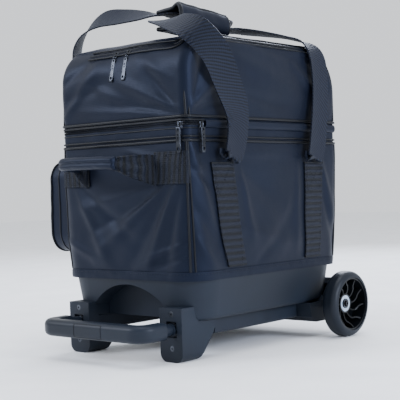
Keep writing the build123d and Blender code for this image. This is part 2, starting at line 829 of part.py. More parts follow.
def build():
    os.makedirs("parts", exist_ok=True)
    save("base_tray", base_tray())
    save("ball_cup", ball_cup())
    save("foot_screws", *foot_screws())
    save("axle_housing", axle_housing())
    save("axle", axle())
    save("axle_screws", *axle_screws())
    save("axle_spacers", *axle_spacers())
    save("bearing_inner_rings", *bearing_inner_rings())
    upper, lower = grip_halves()
    save("grip_upper_half", upper)
    save("grip_lower_half", lower)
    save("grip_collars", *grip_collars())
    save("release_button", release_button())
    save("release_bar", release_bar())
    save("push_rods", *push_rods())
    save("rod_bushes", *rod_bushes())
    save("button_springs", *button_springs())
    save("inner_guides", *inner_guides())
    for side, name in ((-1, "left"), (1, "right")):
        save(f"front_foot_{name}", foot(side))
        save(f"rail_cover_{name}", rail_cover(side))
        save(f"outer_tube_{name}", tube_along_y(
            side * tube_middle, outer_tube_radius, tube_wall, foot_plate + 0.5, outer_tube_end))
        save(f"middle_tube_{name}", tube_along_y(
            side * tube_middle, middle_tube_radius, tube_wall, middle_tube_start, middle_tube_end))
        save(f"inner_tube_{name}", inner_tube(side))
        save(f"lock_pin_{name}", lock_pin(side))
        save(f"tyre_{name}", tyre(side))
        save(f"rim_{name}", rim(side))
        save(f"bearing_outer_rings_{name}", *bearing_outer_rings(side))
    save("body_shell", body_shell())
    sides, ends = stiffeners()
    save("side_stiffeners", sides)
    save("end_stiffeners", ends)
    save("main_zip_lower", neck_ring(body_top, zip_line - 0.4))
    save("main_zip_upper", neck_ring(zip_line + 0.4, lid_start))
    save("lid_shell", lid_shell())
    save("lid_floor", lid_floor())
    save("top_flap", top_flap())
    save("side_pocket", side_pocket())
    save("strap_anchors", *anchor_strips())
    save("carry_strap_left", carry_strap_left())
    save("carry_strap_right", carry_strap_right())
    save("handle_wrap", handle_wrap())
    save("front_grab_patches", *front_patches())
    save("front_grab_handle", front_grab_handle())
    save("rear_grab_handle", rear_grab_handle())
    save("front_slider", front_slider())
    save("front_pull", front_pull())
    save("side_slider", to_side(slider(0, 0, zip_line - 3)))
    save("side_pull", to_side(pull(0, -slider_depth - pull_hinge_gap, zip_line - 8)))
    for place, name in zip(top_slider_places, ("left", "right")):
        save(f"top_slider_{name}", top_slider(place))
        save(f"top_pull_{name}", top_pull(place))


build()
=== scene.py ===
# A wheeled bowling ball bag: fabric, webbing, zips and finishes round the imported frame.
import bpy
from math import cos, exp, pi, radians, sin, sqrt, tau
from mathutils import Matrix, Vector, noise


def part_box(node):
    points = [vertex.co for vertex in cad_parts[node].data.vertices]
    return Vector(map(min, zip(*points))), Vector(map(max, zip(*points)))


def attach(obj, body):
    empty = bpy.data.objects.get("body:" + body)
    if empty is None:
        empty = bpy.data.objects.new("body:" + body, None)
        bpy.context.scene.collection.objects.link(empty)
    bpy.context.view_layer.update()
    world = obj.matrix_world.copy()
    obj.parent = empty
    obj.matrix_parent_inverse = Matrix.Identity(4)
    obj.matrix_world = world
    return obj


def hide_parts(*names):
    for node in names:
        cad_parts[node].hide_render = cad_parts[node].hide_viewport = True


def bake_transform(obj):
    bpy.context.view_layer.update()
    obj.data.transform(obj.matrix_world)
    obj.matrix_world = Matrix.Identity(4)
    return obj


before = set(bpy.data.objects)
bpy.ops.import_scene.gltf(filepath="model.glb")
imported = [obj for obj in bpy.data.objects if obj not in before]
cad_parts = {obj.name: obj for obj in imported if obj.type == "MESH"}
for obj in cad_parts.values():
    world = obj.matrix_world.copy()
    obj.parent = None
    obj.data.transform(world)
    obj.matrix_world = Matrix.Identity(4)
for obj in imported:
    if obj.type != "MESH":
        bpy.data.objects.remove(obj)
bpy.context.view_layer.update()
mm = 0.001


def deselectAll():
    if bpy.context.object and bpy.context.object.mode != "OBJECT":
        bpy.ops.object.mode_set(mode="OBJECT")
    bpy.ops.object.select_all(action="DESELECT")


def pickOnly(piece):
    deselectAll()
    piece.select_set(True)
    bpy.context.view_layer.objects.active = piece


def applyModifiers(piece):
    pickOnly(piece)
    for modifier in list(piece.modifiers):
        bpy.ops.object.modifier_apply(modifier=modifier.name)


def setPlace(piece):
    pickOnly(piece)
    bpy.ops.object.transform_apply(location=True, rotation=True, scale=True)


def smooth(piece, angle=40):
    pickOnly(piece)
    bpy.ops.object.shade_smooth_by_angle(angle=radians(angle))


def joinAll(pieces, name):
    deselectAll()
    for piece in pieces:
        piece.select_set(True)
    bpy.context.view_layer.objects.active = pieces[0]
    if len(pieces) > 1:
        bpy.ops.object.join()
    joined = bpy.context.object
    joined.name = name
    return joined


def fixNormals(piece):
    pickOnly(piece)
    bpy.ops.object.mode_set(mode="EDIT")
    bpy.ops.mesh.select_all(action="SELECT")
    bpy.ops.mesh.normals_make_consistent(inside=False)
    bpy.ops.object.mode_set(mode="OBJECT")


def mapGrid(name, across, along, place, size, close=False):
    # a flat grid whose points are put where place(u, v) says; its UV map is in metres
    deselectAll()
    bpy.ops.mesh.primitive_grid_add(x_subdivisions=across, y_subdivisions=along, size=2)
    sheet = bpy.context.object
    sheet.name = name
    mesh = sheet.data
    spots = [place((point.co.x + 1) / 2, (point.co.y + 1) / 2) for point in mesh.vertices]
    for point, spot in zip(mesh.vertices, spots):
        point.co = spot
    for corner in mesh.uv_layers.active.data:
        corner.uv = (corner.uv[0] * size[0], corner.uv[1] * size[1])
    if close:
        bpy.ops.object.mode_set(mode="EDIT")
        bpy.ops.mesh.select_all(action="SELECT")
        bpy.ops.mesh.remove_doubles(threshold=0.00002)
        bpy.ops.object.mode_set(mode="OBJECT")
    mesh.update()
    return sheet


def pushOut(piece, relief):
    # moves each point along its normal by relief(place, normal)
    mesh = piece.data
    moves = [(Vector(n.vector), Vector(p.co)) for n, p in zip(mesh.vertex_normals, mesh.vertices)]
    for point, (normal, place) in zip(mesh.vertices, moves):
        point.co = place + normal * relief(place, normal)
    mesh.update()


def thicken(piece, depth, offset=-1):
    wall = piece.modifiers.new("wall", "SOLIDIFY")
    wall.thickness = depth
    wall.offset = offset
    applyModifiers(piece)


def cordAlong(name, points, radius, closed=False, sides=3):
    # a piping or coil tube along a smooth curve
    deselectAll()
    bpy.ops.curve.primitive_nurbs_path_add()
    line = bpy.context.object
    line.name = name
    curve = line.data
    curve.splines.clear()
    spline = curve.splines.new("NURBS")
    spline.points.add(len(points) - 1)
    for slot, point in zip(spline.points, points):
        slot.co = (*point, 1)
    spline.order_u = 3
    spline.use_endpoint_u = not closed
    spline.use_cyclic_u = closed
    spline.resolution_u = 3
    curve.dimensions = "3D"
    curve.bevel_depth = radius
    curve.bevel_resolution = sides
    curve.use_fill_caps = not closed
    line.location = (0, 0, 0)
    pickOnly(line)
    bpy.ops.object.convert(target="MESH")
    return bpy.context.object


def blockAt(name, low, high, rounding, segments):
    deselectAll()
    middle = [(a + b) / 2 for a, b in zip(low, high)]
    bpy.ops.mesh.primitive_cube_add(size=1, location=middle)
    block = bpy.context.object
    block.name = name
    block.scale = [b - a for a, b in zip(low, high)]
    setPlace(block)
    bpy.ops.object.mode_set(mode="EDIT")
    bpy.ops.mesh.select_all(action="SELECT")
    bpy.ops.mesh.bevel(offset=rounding, segments=segments, affect="EDGES")
    bpy.ops.object.mode_set(mode="OBJECT")
    return block


def stitchRow(points, length=0.0026, gap=0.0016, height=0.0005):
    # short thread bars along a polyline of (place, normal): each bar's two ends, normal and height
    bars = []
    carried = 0.0
    for (a, na), (b, nb) in zip(points, points[1:]):
        run = (b - a).length
        step = length + gap
        place = carried
        while place + length < run + 0.0001:
            start, end = a.lerp(b, place / run), a.lerp(b, min(1, (place + length) / run))
            normal = na.lerp(nb, place / run).normalized()
            bars.append((start + normal * height * 0.4, end + normal * height * 0.4, normal, height))
            place += step
        carried = max(0.0, place - run)
    return bars


def sewn(name, bars):
    # all thread bars as one mesh, each a low three-sided bar that is fullest at its middle
    points, faces = [], []
    for start, end, normal, height in bars:
        along = (end - start).normalized()
        side = along.cross(normal).normalized() * height * 0.9
        rise = normal * height
        base = len(points)
        middle = (start + end) / 2
        for place, grow in ((start, 0.45), (middle, 1.0), (end, 0.45)):
            points += [place - side * grow, place + rise * grow, place + side * grow]
        for ring in (0, 3):
            for corner in range(2):
                a = base + ring + corner
                faces.append((a, a + 1, a + 4, a + 3))
        faces += [(base, base + 2, base + 1), (base + 6, base + 7, base + 8)]
    mesh = bpy.data.meshes.new(name)
    mesh.from_pydata(points, [], faces)
    piece = bpy.data.objects.new(name, mesh)
    bpy.context.collection.objects.link(piece)
    return piece


def linear(hexColour):
    parts = [int(hexColour[i:i + 2], 16) / 255 for i in (1, 3, 5)]
    return [c / 12.92 if c <= 0.04045 else ((c + 0.055) / 1.055) ** 2.4 for c in parts] + [1]


def addNode(tree, kind, settings=None, links=None):
    # settings set values or sockets, links join other nodes' outputs to its inputs
    node = tree.nodes.new(kind)
    for key, value in (settings or {}).items():
        if isinstance(key, int) or key in node.inputs:
            node.inputs[key].default_value = value
        else:
            setattr(node, key, value)
    for key, output in (links or {}).items():
        tree.links.new(output, node.inputs[key])
    return node


def newFinish(name, **sockets):
    finish = bpy.data.materials.new(name)
    finish.use_nodes = True
    tree = finish.node_tree
    shader = tree.nodes["Principled BSDF"]
    for key, value in sockets.items():
        shader.inputs[key.replace("_", " ")].default_value = value
    return finish, tree, shader


def rampBetween(tree, source, low, high, start=0.35, end=0.65):
    ramp = addNode(tree, "ShaderNodeValToRGB", links={"Fac": source})
    ramp.color_ramp.elements[0].color = linear(low)
    ramp.color_ramp.elements[1].color = linear(high)
    ramp.color_ramp.elements[0].position = start
    ramp.color_ramp.elements[1].position = end
    return ramp


def satinCloth(name, dark, light, thread=1.1, gloss=0.47):
    # padded satin polyester: a smooth weave that gives broad soft blue highlights
    # thread is the spacing in mm, coarser than the real weave so that it shows
    finish, tree, shader = newFinish(name, Roughness=gloss, Sheen_Weight=0.03, Sheen_Roughness=0.35,
                                     Sheen_Tint=linear("#7f9be0"), Specular_IOR_Level=0.22,
                                     Specular_Tint=linear("#b4c4ee"))
    place = addNode(tree, "ShaderNodeTexCoord")
    warp = addNode(tree, "ShaderNodeTexWave", {"Scale": 1000 / thread / tau, "bands_direction": "X",
                   "Distortion": 0.4, "Detail": 1.0}, {"Vector": place.outputs["UV"]})
    weft = addNode(tree, "ShaderNodeTexWave", {"Scale": 1000 / thread / tau * 0.8, "bands_direction": "Y",
                   "Distortion": 0.4, "Detail": 1.0}, {"Vector": place.outputs["UV"]})
    weave = addNode(tree, "ShaderNodeMath", {"operation": "MULTIPLY"},
                    {0: warp.outputs["Fac"], 1: weft.outputs["Fac"]})
    cloud = addNode(tree, "ShaderNodeTexNoise", {"Scale": 9.0, "Detail": 2.0},
                    {"Vector": place.outputs["Object"]})
    ramp = rampBetween(tree, cloud.outputs["Fac"], dark, light, 0.1, 0.9)
    tree.links.new(ramp.outputs["Color"], shader.inputs["Base Color"])
    slub = addNode(tree, "ShaderNodeTexNoise", {"Scale": 260.0, "Detail": 2.0},
                   {"Vector": place.outputs["Object"]})
    rough = addNode(tree, "ShaderNodeMapRange", {"To Min": gloss - 0.05, "To Max": gloss + 0.08},
                    {"Value": slub.outputs["Fac"]})
    tree.links.new(rough.outputs["Result"], shader.inputs["Roughness"])
    bump = addNode(tree, "ShaderNodeBump", {"Strength": 0.22, "Distance": 0.0003},
                   {"Height": weave.outputs["Value"]})
    crinkle = addNode(tree, "ShaderNodeTexNoise", {"Scale": 55.0, "Detail": 3.0},
                      {"Vector": place.outputs["Object"]})
    soft = addNode(tree, "ShaderNodeBump", {"Strength": 0.2, "Distance": 0.0008},
                   {"Height": crinkle.outputs["Fac"], "Normal": bump.outputs["Normal"]})
    tree.links.new(soft.outputs["Normal"], shader.inputs["Normal"])
    return finish


def ribbedWebbing(name, dark, light, rib=4.6, slant=0.0, relief=0.7):
    # polypropylene webbing: thick cross ribs, rib mm apart, of tightly packed yarn
    finish, tree, shader = newFinish(name, Roughness=0.58, Sheen_Weight=0.04, Sheen_Roughness=0.4,
                                     Sheen_Tint=linear("#7f93b8"), Specular_IOR_Level=0.18)
    place = addNode(tree, "ShaderNodeTexCoord")
    turn = addNode(tree, "ShaderNodeMapping", {"Rotation": (0, 0, slant)}, {"Vector": place.outputs["UV"]})
    ribs = addNode(tree, "ShaderNodeTexWave", {"Scale": 1000 / rib / tau, "bands_direction": "Y",
                   "Distortion": 0.5, "Detail": 1.0, "Detail Scale": 3.0}, {"Vector": turn.outputs["Vector"]})
    yarn = addNode(tree, "ShaderNodeTexWave", {"Scale": 1000 / 1.5 / tau, "bands_direction": "X",
                   "Distortion": 1.2, "Detail": 1.0}, {"Vector": turn.outputs["Vector"]})
    both = addNode(tree, "ShaderNodeMath", {"operation": "MULTIPLY_ADD", 1: 0.35},
                   {0: yarn.outputs["Fac"], 2: ribs.outputs["Fac"]})
    ramp = rampBetween(tree, both.outputs["Value"], dark, light, 0.2, 1.1)
    tree.links.new(ramp.outputs["Color"], shader.inputs["Base Color"])
    bump = addNode(tree, "ShaderNodeBump", {"Strength": relief, "Distance": 0.0009},
                   {"Height": both.outputs["Value"]})
    tree.links.new(bump.outputs["Normal"], shader.inputs["Normal"])
    return finish


def moulded(name, dark, light, roughness, grain=0.9, depth=0.12):
    # moulded plastic: a fine spark-eroded grain, grain mm across, spreads the highlight
    finish, tree, shader = newFinish(name, Roughness=roughness, Specular_IOR_Level=0.2, IOR=1.5)
    place = addNode(tree, "ShaderNodeTexCoord")
    cloud = addNode(tree, "ShaderNodeTexNoise", {"Scale": 9.0, "Detail": 4.0},
                    {"Vector": place.outputs["Object"]})
    ramp = rampBetween(tree, cloud.outputs["Fac"], dark, light)
    tree.links.new(ramp.outputs["Color"], shader.inputs["Base Color"])
    spark = addNode(tree, "ShaderNodeTexNoise", {"Scale": 1000 / grain, "Detail": 2.0},
                    {"Vector": place.outputs["Object"]})
    bump = addNode(tree, "ShaderNodeBump", {"Strength": depth, "Distance": 0.0002},
                   {"Height": spark.outputs["Fac"]})
    tree.links.new(bump.outputs["Normal"], shader.inputs["Normal"])
    rough = addNode(tree, "ShaderNodeMapRange", {"To Min": roughness - 0.07, "To Max": roughness + 0.09},
                    {"Value": cloud.outputs["Fac"]})
    tree.links.new(rough.outputs["Result"], shader.inputs["Roughness"])
    return finish


def drawnMetal(name, colour, worn, roughness, streak=(1, 1, 1)):
    # plated or drawn metal: fine streaks and faint handling marks in the gloss
    finish, tree, shader = newFinish(name, Metallic=1.0, Roughness=roughness)
    place = addNode(tree, "ShaderNodeTexCoord")
    stretch = addNode(tree, "ShaderNodeMapping", {"Scale": streak}, {"Vector": place.outputs["Object"]})
    marks = addNode(tree, "ShaderNodeTexNoise", {"Scale": 90.0, "Detail": 2.0},
                    {"Vector": stretch.outputs["Vector"]})
    ramp = rampBetween(tree, marks.outputs["Fac"], colour, worn)
    tree.links.new(ramp.outputs["Color"], shader.inputs["Base Color"])
    rough = addNode(tree, "ShaderNodeMapRange", {"To Min": roughness - 0.06, "To Max": roughness + 0.1},
                    {"Value": marks.outputs["Fac"]})
    tree.links.new(rough.outputs["Result"], shader.inputs["Roughness"])
    return finish


satin = satinCloth("navy_satin_polyester", "#090c14", "#0d121e")
bandCloth = satinCloth("zip_band_polyester", "#090c14", "#0f1420", gloss=0.52)
liningCloth = satinCloth("nylon_lining", "#11141b", "#1a1e27", gloss=0.55)
pipingCord = moulded("vinyl_piping", "#06080d", "#0b0f17", 0.4, grain=1.4)
stripWebbing = ribbedWebbing("ribbed_polypropylene_webbing", "#05070b", "#111622", rib=5.2)
strapWebbing = ribbedWebbing("strap_webbing", "#070a11", "#161c2b", rib=2.1, slant=0.5, relief=0.35)
thread = moulded("bonded_nylon_thread", "#0a0d14", "#141a27", 0.5)
zipTeeth = moulded("nylon_zip_coil", "#07090e", "#11151e", 0.32)
gunmetal = drawnMetal("gunmetal_zinc", "#2b2d32", "#3f4248", 0.27)
baseShell = moulded("grained_polypropylene", "#141a23", "#1a212c", 0.5, depth=0.2)
gripShell = moulded("satin_nylon_grip", "#131922", "#19202b", 0.42)
buttonShell = moulded("satin_nylon_button", "#11161e", "#171d27", 0.4)
acetal = moulded("natural_acetal", "#b9b7b0", "#cac8c2", 0.4)
foam = moulded("eva_foam", "#15161a", "#202228", 0.8, grain=2.0, depth=0.5)
board = moulded("polyethylene_board", "#1b1c1f", "#24262a", 0.55)
tyreRubber = moulded("cast_polyurethane", "#10151c", "#171d26", 0.42, depth=0.08)
rimNylon = moulded("semi_gloss_nylon", "#07090c", "#0f1217", 0.3, depth=0.05)
anodised = drawnMetal("dark_anodised_aluminium", "#34373d", "#43474f", 0.34, (1, 0.04, 1))
zincSteel = drawnMetal("zinc_plated_steel", "#a4a9b0", "#c8ccd2", 0.28)
blackSteel = drawnMetal("blackened_screw_steel", "#3a3d43", "#565a61", 0.33)
bearingSteel = drawnMetal("ground_bearing_steel", "#8fa3bb", "#bccbdd", 0.2)

nodeFinishes = {
    "base_tray": baseShell, "axle_housing": baseShell, "front_foot_left": baseShell,
    "front_foot_right": baseShell, "rail_cover_left": baseShell, "rail_cover_right": baseShell,
    "grip_upper_half": gripShell, "grip_lower_half": gripShell, "grip_collars": gripShell,
    "release_button": buttonShell, "rod_bushes": acetal, "inner_guides": acetal, "ball_cup": foam,
    "side_stiffeners": board, "end_stiffeners": board, "lid_floor": liningCloth,
    "tyre_left": tyreRubber, "tyre_right": tyreRubber, "rim_left": rimNylon, "rim_right": rimNylon,
    "foot_screws": blackSteel, "axle": zincSteel, "axle_screws": gunmetal, "axle_spacers": zincSteel,
    "release_bar": zincSteel, "push_rods": zincSteel, "lock_pin_left": zincSteel,
    "lock_pin_right": zincSteel, "button_springs": zincSteel, "bearing_inner_rings": bearingSteel,
    "bearing_outer_rings_left": bearingSteel, "bearing_outer_rings_right": bearingSteel,
}
for node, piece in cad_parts.items():
    finish = nodeFinishes.get(node, anodised if "tube" in node else satin)
    if not piece.data.materials:
        piece.data.materials.append(finish)
    for slot in piece.material_slots:
        slot.material = finish
print("finishes ready")


def dress(piece, finish, body, slotName, *replaced):
    piece.data.materials.clear()
    piece.data.materials.append(finish)
    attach(piece, body)
    if replaced:
        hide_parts(*replaced)


shellLow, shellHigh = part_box("body_shell")
neckLow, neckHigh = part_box("main_zip_lower")
bag = dict(low=shellLow[2], top=shellHigh[2], width=shellHigh[0] - shellLow[0],
           neckWidth=neckHigh[0] - neckLow[0], neckDepth=neckHigh[1] - neckLow[1],
           frontLow=shellLow[1], frontHigh=neckLow[1], rearHigh=neckHigh[1], rearTuck=0.006,
           hemRadius=0.045, neckRadius=0.012, bulge=0.0026)
referenceRadius = 0.03


def ringPlace(u, height, out=0.0):
    # a point on the tapered rounded-rectangle wall, with its outward direction, u running round it
    share = (height - bag["low"]) / (bag["top"] - bag["low"])
    share = min(1.0, max(0.0, share))
    halfWidth = (bag["width"] + share * (bag["neckWidth"] - bag["width"])) / 2
    front = bag["frontLow"] + share * (bag["frontHigh"] - bag["frontLow"])
    rear = bag["rearHigh"] - bag["rearTuck"] * (1 - share)
    radius = bag["hemRadius"] + share * (bag["neckRadius"] - bag["hemRadius"])
    middle, halfDepth = (front + rear) / 2, (rear - front) / 2
    flatWide, flatDeep = bag["neckWidth"] - 2 * referenceRadius, bag["neckDepth"] - 2 * referenceRadius
    arc = referenceRadius * pi / 2
    runs = [flatWide / 2, arc, flatDeep, arc, flatWide, arc, flatDeep, arc, flatWide / 2]
    travelled = (u % 1.0) * sum(runs)
    corners = [(halfWidth - radius, halfDepth - radius, 90), (halfWidth - radius, radius - halfDepth, 0),
               (radius - halfWidth, radius - halfDepth, -90), (radius - halfWidth, halfDepth - radius, -180)]
    index = 0
    while index < 8 and travelled > runs[index]:
        travelled -= runs[index]
        index += 1
    part = travelled / runs[index]
    if index % 2:
        cx, cy, start = corners[index // 2]
        angle = radians(start - 90 * part)
        nx, ny = cos(angle), sin(angle)
        return (Vector((cx + nx * (radius + out), middle + cy + ny * (radius + out), height)),
                Vector((nx, ny, 0)))
    spots = {
        0: ((0, halfDepth), (halfWidth - radius, halfDepth), (0, 1)),
        2: ((halfWidth, halfDepth - radius), (halfWidth, radius - halfDepth), (1, 0)),
        4: ((halfWidth - radius, -halfDepth), (radius - halfWidth, -halfDepth), (0, -1)),
        6: ((-halfWidth, radius - halfDepth), (-halfWidth, halfDepth - radius), (-1, 0)),
        8: ((radius - halfWidth, halfDepth), (0, halfDepth), (0, 1)),
    }
    a, b, n = spots[index]
    x, y = a[0] + (b[0] - a[0]) * part, a[1] + (b[1] - a[1]) * part
    return Vector((x + n[0] * out, middle + y + n[1] * out, height)), Vector((n[0], n[1], 0))


cornerShares = {}
flatWide, flatDeep = bag["neckWidth"] - 2 * referenceRadius, bag["neckDepth"] - 2 * referenceRadius
arcRun = referenceRadius * pi / 2
ringRun = 2 * flatWide + 2 * flatDeep + 4 * arcRun
cornerShares["rearRight"] = (flatWide / 2 + arcRun / 2) / ringRun
cornerShares["frontRight"] = (flatWide / 2 + arcRun * 1.5 + flatDeep) / ringRun
cornerShares["frontLeft"] = (flatWide * 1.5 + arcRun * 2.5 + flatDeep) / ringRun
cornerShares["rearLeft"] = (flatWide * 1.5 + arcRun * 3.5 + flatDeep * 2) / ringRun


def foldHeight(place, axis, folds):
    # soft ridges and hollows, each along a line from one spot to another: (a0, z0, a1, z1, width, rise)
    total = 0.0
    overrun = 0.15    # a fold fades out this share of its length past its ends
    a, z = place[axis], place[2]
    for a0, z0, a1, z1, width, rise in folds:
        da, dz = a1 - a0, z1 - z0
        run = sqrt(da * da + dz * dz)
        t = ((a - a0) * da + (z - z0) * dz) / (run * run)
        if -overrun < t < 1 + overrun:
            off = abs((a - a0) * dz - (z - z0) * da) / run
            spread = width * (0.6 + 0.8 * max(0, t))
            fade = max(0.0, sin(pi * (t + overrun) / (1 + 2 * overrun))) ** 0.8
            total += rise * exp(-(off / spread) ** 2) * fade
    return total


frontFolds = [
    (0.090, 0.268, -0.055, 0.165, 0.009, 0.0045), (0.075, 0.262, -0.075, 0.200, 0.008, -0.0035),
    (0.060, 0.270, -0.100, 0.235, 0.009, 0.0030), (0.100, 0.262, 0.010, 0.140, 0.010, -0.0030),
    (0.110, 0.262, 0.050, 0.135, 0.008, 0.0032), (0.125, 0.262, 0.088, 0.140, 0.007, -0.0028),
    (-0.085, 0.268, 0.030, 0.180, 0.010, -0.0026), (-0.100, 0.262, -0.030, 0.140, 0.010, 0.0030),
    (0.140, 0.185, 0.030, 0.150, 0.006, 0.0026), (0.140, 0.165, 0.045, 0.138, 0.005, -0.0022),
    (-0.140, 0.190, -0.050, 0.150, 0.008, 0.0024), (0.020, 0.328, 0.130, 0.300, 0.008, 0.0020),
]
rightFolds = [
    (-0.155, 0.330, -0.120, 0.200, 0.009, 0.0032), (-0.160, 0.300, -0.115, 0.270, 0.007, -0.0030),
    (-0.165, 0.250, -0.110, 0.180, 0.009, -0.0028), (-0.160, 0.200, -0.118, 0.140, 0.008, 0.0028),
    (-0.050, 0.300, 0.060, 0.240, 0.016, -0.0030), (-0.050, 0.200, 0.110, 0.165, 0.015, 0.0032),
    (-0.045, 0.320, 0.110, 0.325, 0.010, 0.0022), (0.000, 0.150, 0.110, 0.230, 0.014, -0.0020),
    (0.185, 0.320, 0.215, 0.210, 0.009, 0.0030), (0.190, 0.240, 0.225, 0.150, 0.009, -0.0026),
    (-0.040, 0.290, -0.020, 0.180, 0.008, 0.0022), (0.115, 0.290, 0.100, 0.160, 0.009, 0.0022),
]
lidFrontFolds = [
    (0.128, 0.388, -0.020, 0.450, 0.009, 0.0042), (0.125, 0.384, 0.000, 0.405, 0.007, -0.0035),
    (0.120, 0.392, 0.050, 0.465, 0.008, -0.0036), (0.095, 0.385, -0.100, 0.398, 0.007, 0.0030),
    (-0.130, 0.390, -0.050, 0.470, 0.010, 0.0036), (-0.120, 0.420, 0.020, 0.455, 0.012, -0.0030),
    (-0.060, 0.440, 0.060, 0.385, 0.010, 0.0026), (0.110, 0.440, 0.030, 0.478, 0.009, 0.0026),
    (-0.135, 0.445, -0.070, 0.480, 0.008, -0.0026),
]
lidSideFolds = [
    (-0.158, 0.392, -0.080, 0.450, 0.010, 0.0038), (-0.150, 0.385, -0.070, 0.400, 0.008, -0.0030),
    (-0.145, 0.410, -0.120, 0.490, 0.008, -0.0030), (-0.060, 0.480, 0.120, 0.430, 0.018, 0.0034),
    (-0.040, 0.420, 0.130, 0.395, 0.012, -0.0030), (0.120, 0.470, 0.215, 0.400, 0.012, 0.0036),
    (0.150, 0.490, 0.220, 0.450, 0.010, -0.0026), (0.020, 0.497, 0.150, 0.485, 0.010, -0.0024),
]


def panelRelief(place, normal, low, top, front, side):
    rise = min(1.0, max(0.0, (place.z - low) / (top - low)))
    hold = min(1.0, rise / 0.06) * min(1.0, (1 - rise) / 0.06)
    total = bag["bulge"] * sin(pi * rise)
    if abs(normal.y) > 0.6:
        mirrored = place if normal.y < 0 else Vector((-place.x, place.y, place.z))
        total += foldHeight(mirrored, 0, front) * min(1.0, (abs(normal.y) - 0.6) / 0.3)
    elif abs(normal.x) > 0.6:
        total += foldHeight(place, 1, side) * min(1.0, (abs(normal.x) - 0.6) / 0.3)
    total += 0.0013 * noise.noise(place * 14) + 0.00025 * noise.noise(place * 55)
    return total * hold


def bodyRelief(place, normal):
    return panelRelief(place, normal, bag["low"], bag["top"], frontFolds, rightFolds)


def bodySpot(u, height, out=0.0):
    spot, normal = ringPlace(u, height)
    return spot + normal * (bodyRelief(spot, normal) + out), normal


def sideShare(y, right=True):
    # the u at which the wall passes a given y on the right or left side
    start = flatWide / 2 + arcRun if right else flatWide * 1.5 + arcRun * 3 + flatDeep
    rear, front = bag["rearHigh"] - referenceRadius, bag["frontHigh"] + referenceRadius
    part = (rear - y) / (rear - front) if right else (y - front) / (rear - front)
    return (start + part * flatDeep) / ringRun


bodyWall = dict(round=360, up=78, wall=0.0072)
bagBody = mapGrid("bag_body", bodyWall["round"], bodyWall["up"],
                  lambda u, v: ringPlace(u, bag["low"] + v * (bag["top"] - bag["low"]))[0],
                  (ringRun, bag["top"] - bag["low"]), close=True)
fixNormals(bagBody)
pushOut(bagBody, bodyRelief)
thicken(bagBody, bodyWall["wall"])
smooth(bagBody, 60)
dress(bagBody, satin, "root", "bag_fabric", "body_shell", "side_stiffeners", "end_stiffeners")
print("fabric body")


hem = dict(height=0.014, out=0.0016, drop=0.003)


def hemPlace(u, v):
    height = bag["low"] - hem["drop"] + v * hem["height"]
    spot, normal = bodySpot(u, max(height, bag["low"]))
    spot.z = height
    ripple = 0.0005 * noise.noise(spot * 90)
    return spot + normal * (hem["out"] + ripple + 0.0006 * sin(pi * v))


bagHem = mapGrid("bottom_hem", 360, 5, hemPlace, (ringRun, hem["height"]), close=True)
fixNormals(bagHem)
thicken(bagHem, 0.0012)
smooth(bagHem, 60)
dress(bagHem, bandCloth, "root", "bag_fabric")

hemRow = [bodySpot(i / 360, bag["low"] + 0.0075, hem["out"] + 0.0004) for i in range(361)]
hemStitches = sewn("hem_stitches", stitchRow(hemRow))
dress(hemStitches, thread, "root", "bag_fabric")

piping = dict(radius=0.0021, inset=0.0004, twin=0.0055)
cords = []
for share in cornerShares.values():
    for side in (-0.5, 0.5):
        line = []
        for step in range(30):
            height = bag["low"] + 0.011 + step / 29 * (bag["top"] - bag["low"] - 0.014)
            spot, normal = bodySpot(share + side * piping["twin"] / ringRun, height, piping["inset"])
            line.append(spot)
        cords.append(cordAlong("cord", line, piping["radius"] * (1.0 if side > 0 else 0.7)))
for height, radius in ((bag["top"] - 0.001, 0.0024), (bag["top"] + 0.0052, 0.0016)):
    ring = [ringPlace(i / 160, height, 0.0012)[0] for i in range(160)]
    cords.append(cordAlong("cord", ring, radius, closed=True))
bodyPiping = joinAll(cords, "body_piping")
smooth(bodyPiping, 60)
dress(bodyPiping, pipingCord, "root", "bag_fabric")

upperLow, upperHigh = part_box("main_zip_upper")
zipPlane = neckHigh[2]


def bandGrid(name, low, high, pinch):
    def place(u, v):
        height = low + v * (high - low)
        spot, normal = ringPlace(u, height)
        ripple = 0.0010 * noise.noise(spot * 26) + 0.0005 * noise.noise(spot * 70)
        return spot + normal * (ripple - pinch * (2 * v - 1) ** 2 * 0.0004)
    band = mapGrid(name, 300, 10, place, (ringRun, high - low), close=True)
    fixNormals(band)
    thicken(band, 0.0028)
    smooth(band, 60)
    return band


lowerBand = bandGrid("zip_band_lower", neckLow[2], neckHigh[2], 1)
dress(lowerBand, bandCloth, "root", "zip_fabric", "main_zip_lower")
upperBand = bandGrid("zip_band_upper", upperLow[2], upperHigh[2], 1)
dress(upperBand, bandCloth, "lid", "zip_fabric", "main_zip_upper")

# the coil shows across the front and round both front corners; on the right it ends behind the slider
coilStart = sideShare(-0.115, True)
coilEnd = sideShare(0.2, False)


def coilTeeth(name, height, out, count=330):
    teeth = []
    for index in range(count):
        share = coilStart + (coilEnd - coilStart) * index / count
        spot, normal = ringPlace(share, height, out)
        ahead = ringPlace(share + 0.0006, height, out)[0]
        along = (ahead - spot).normalized() * 0.0006
        rise = Vector((0, 0, 0.0014))
        teeth.append((spot - rise + along * 0.3, spot + rise - along * 0.3, normal, 0.0009))
    return sewn(name, teeth)


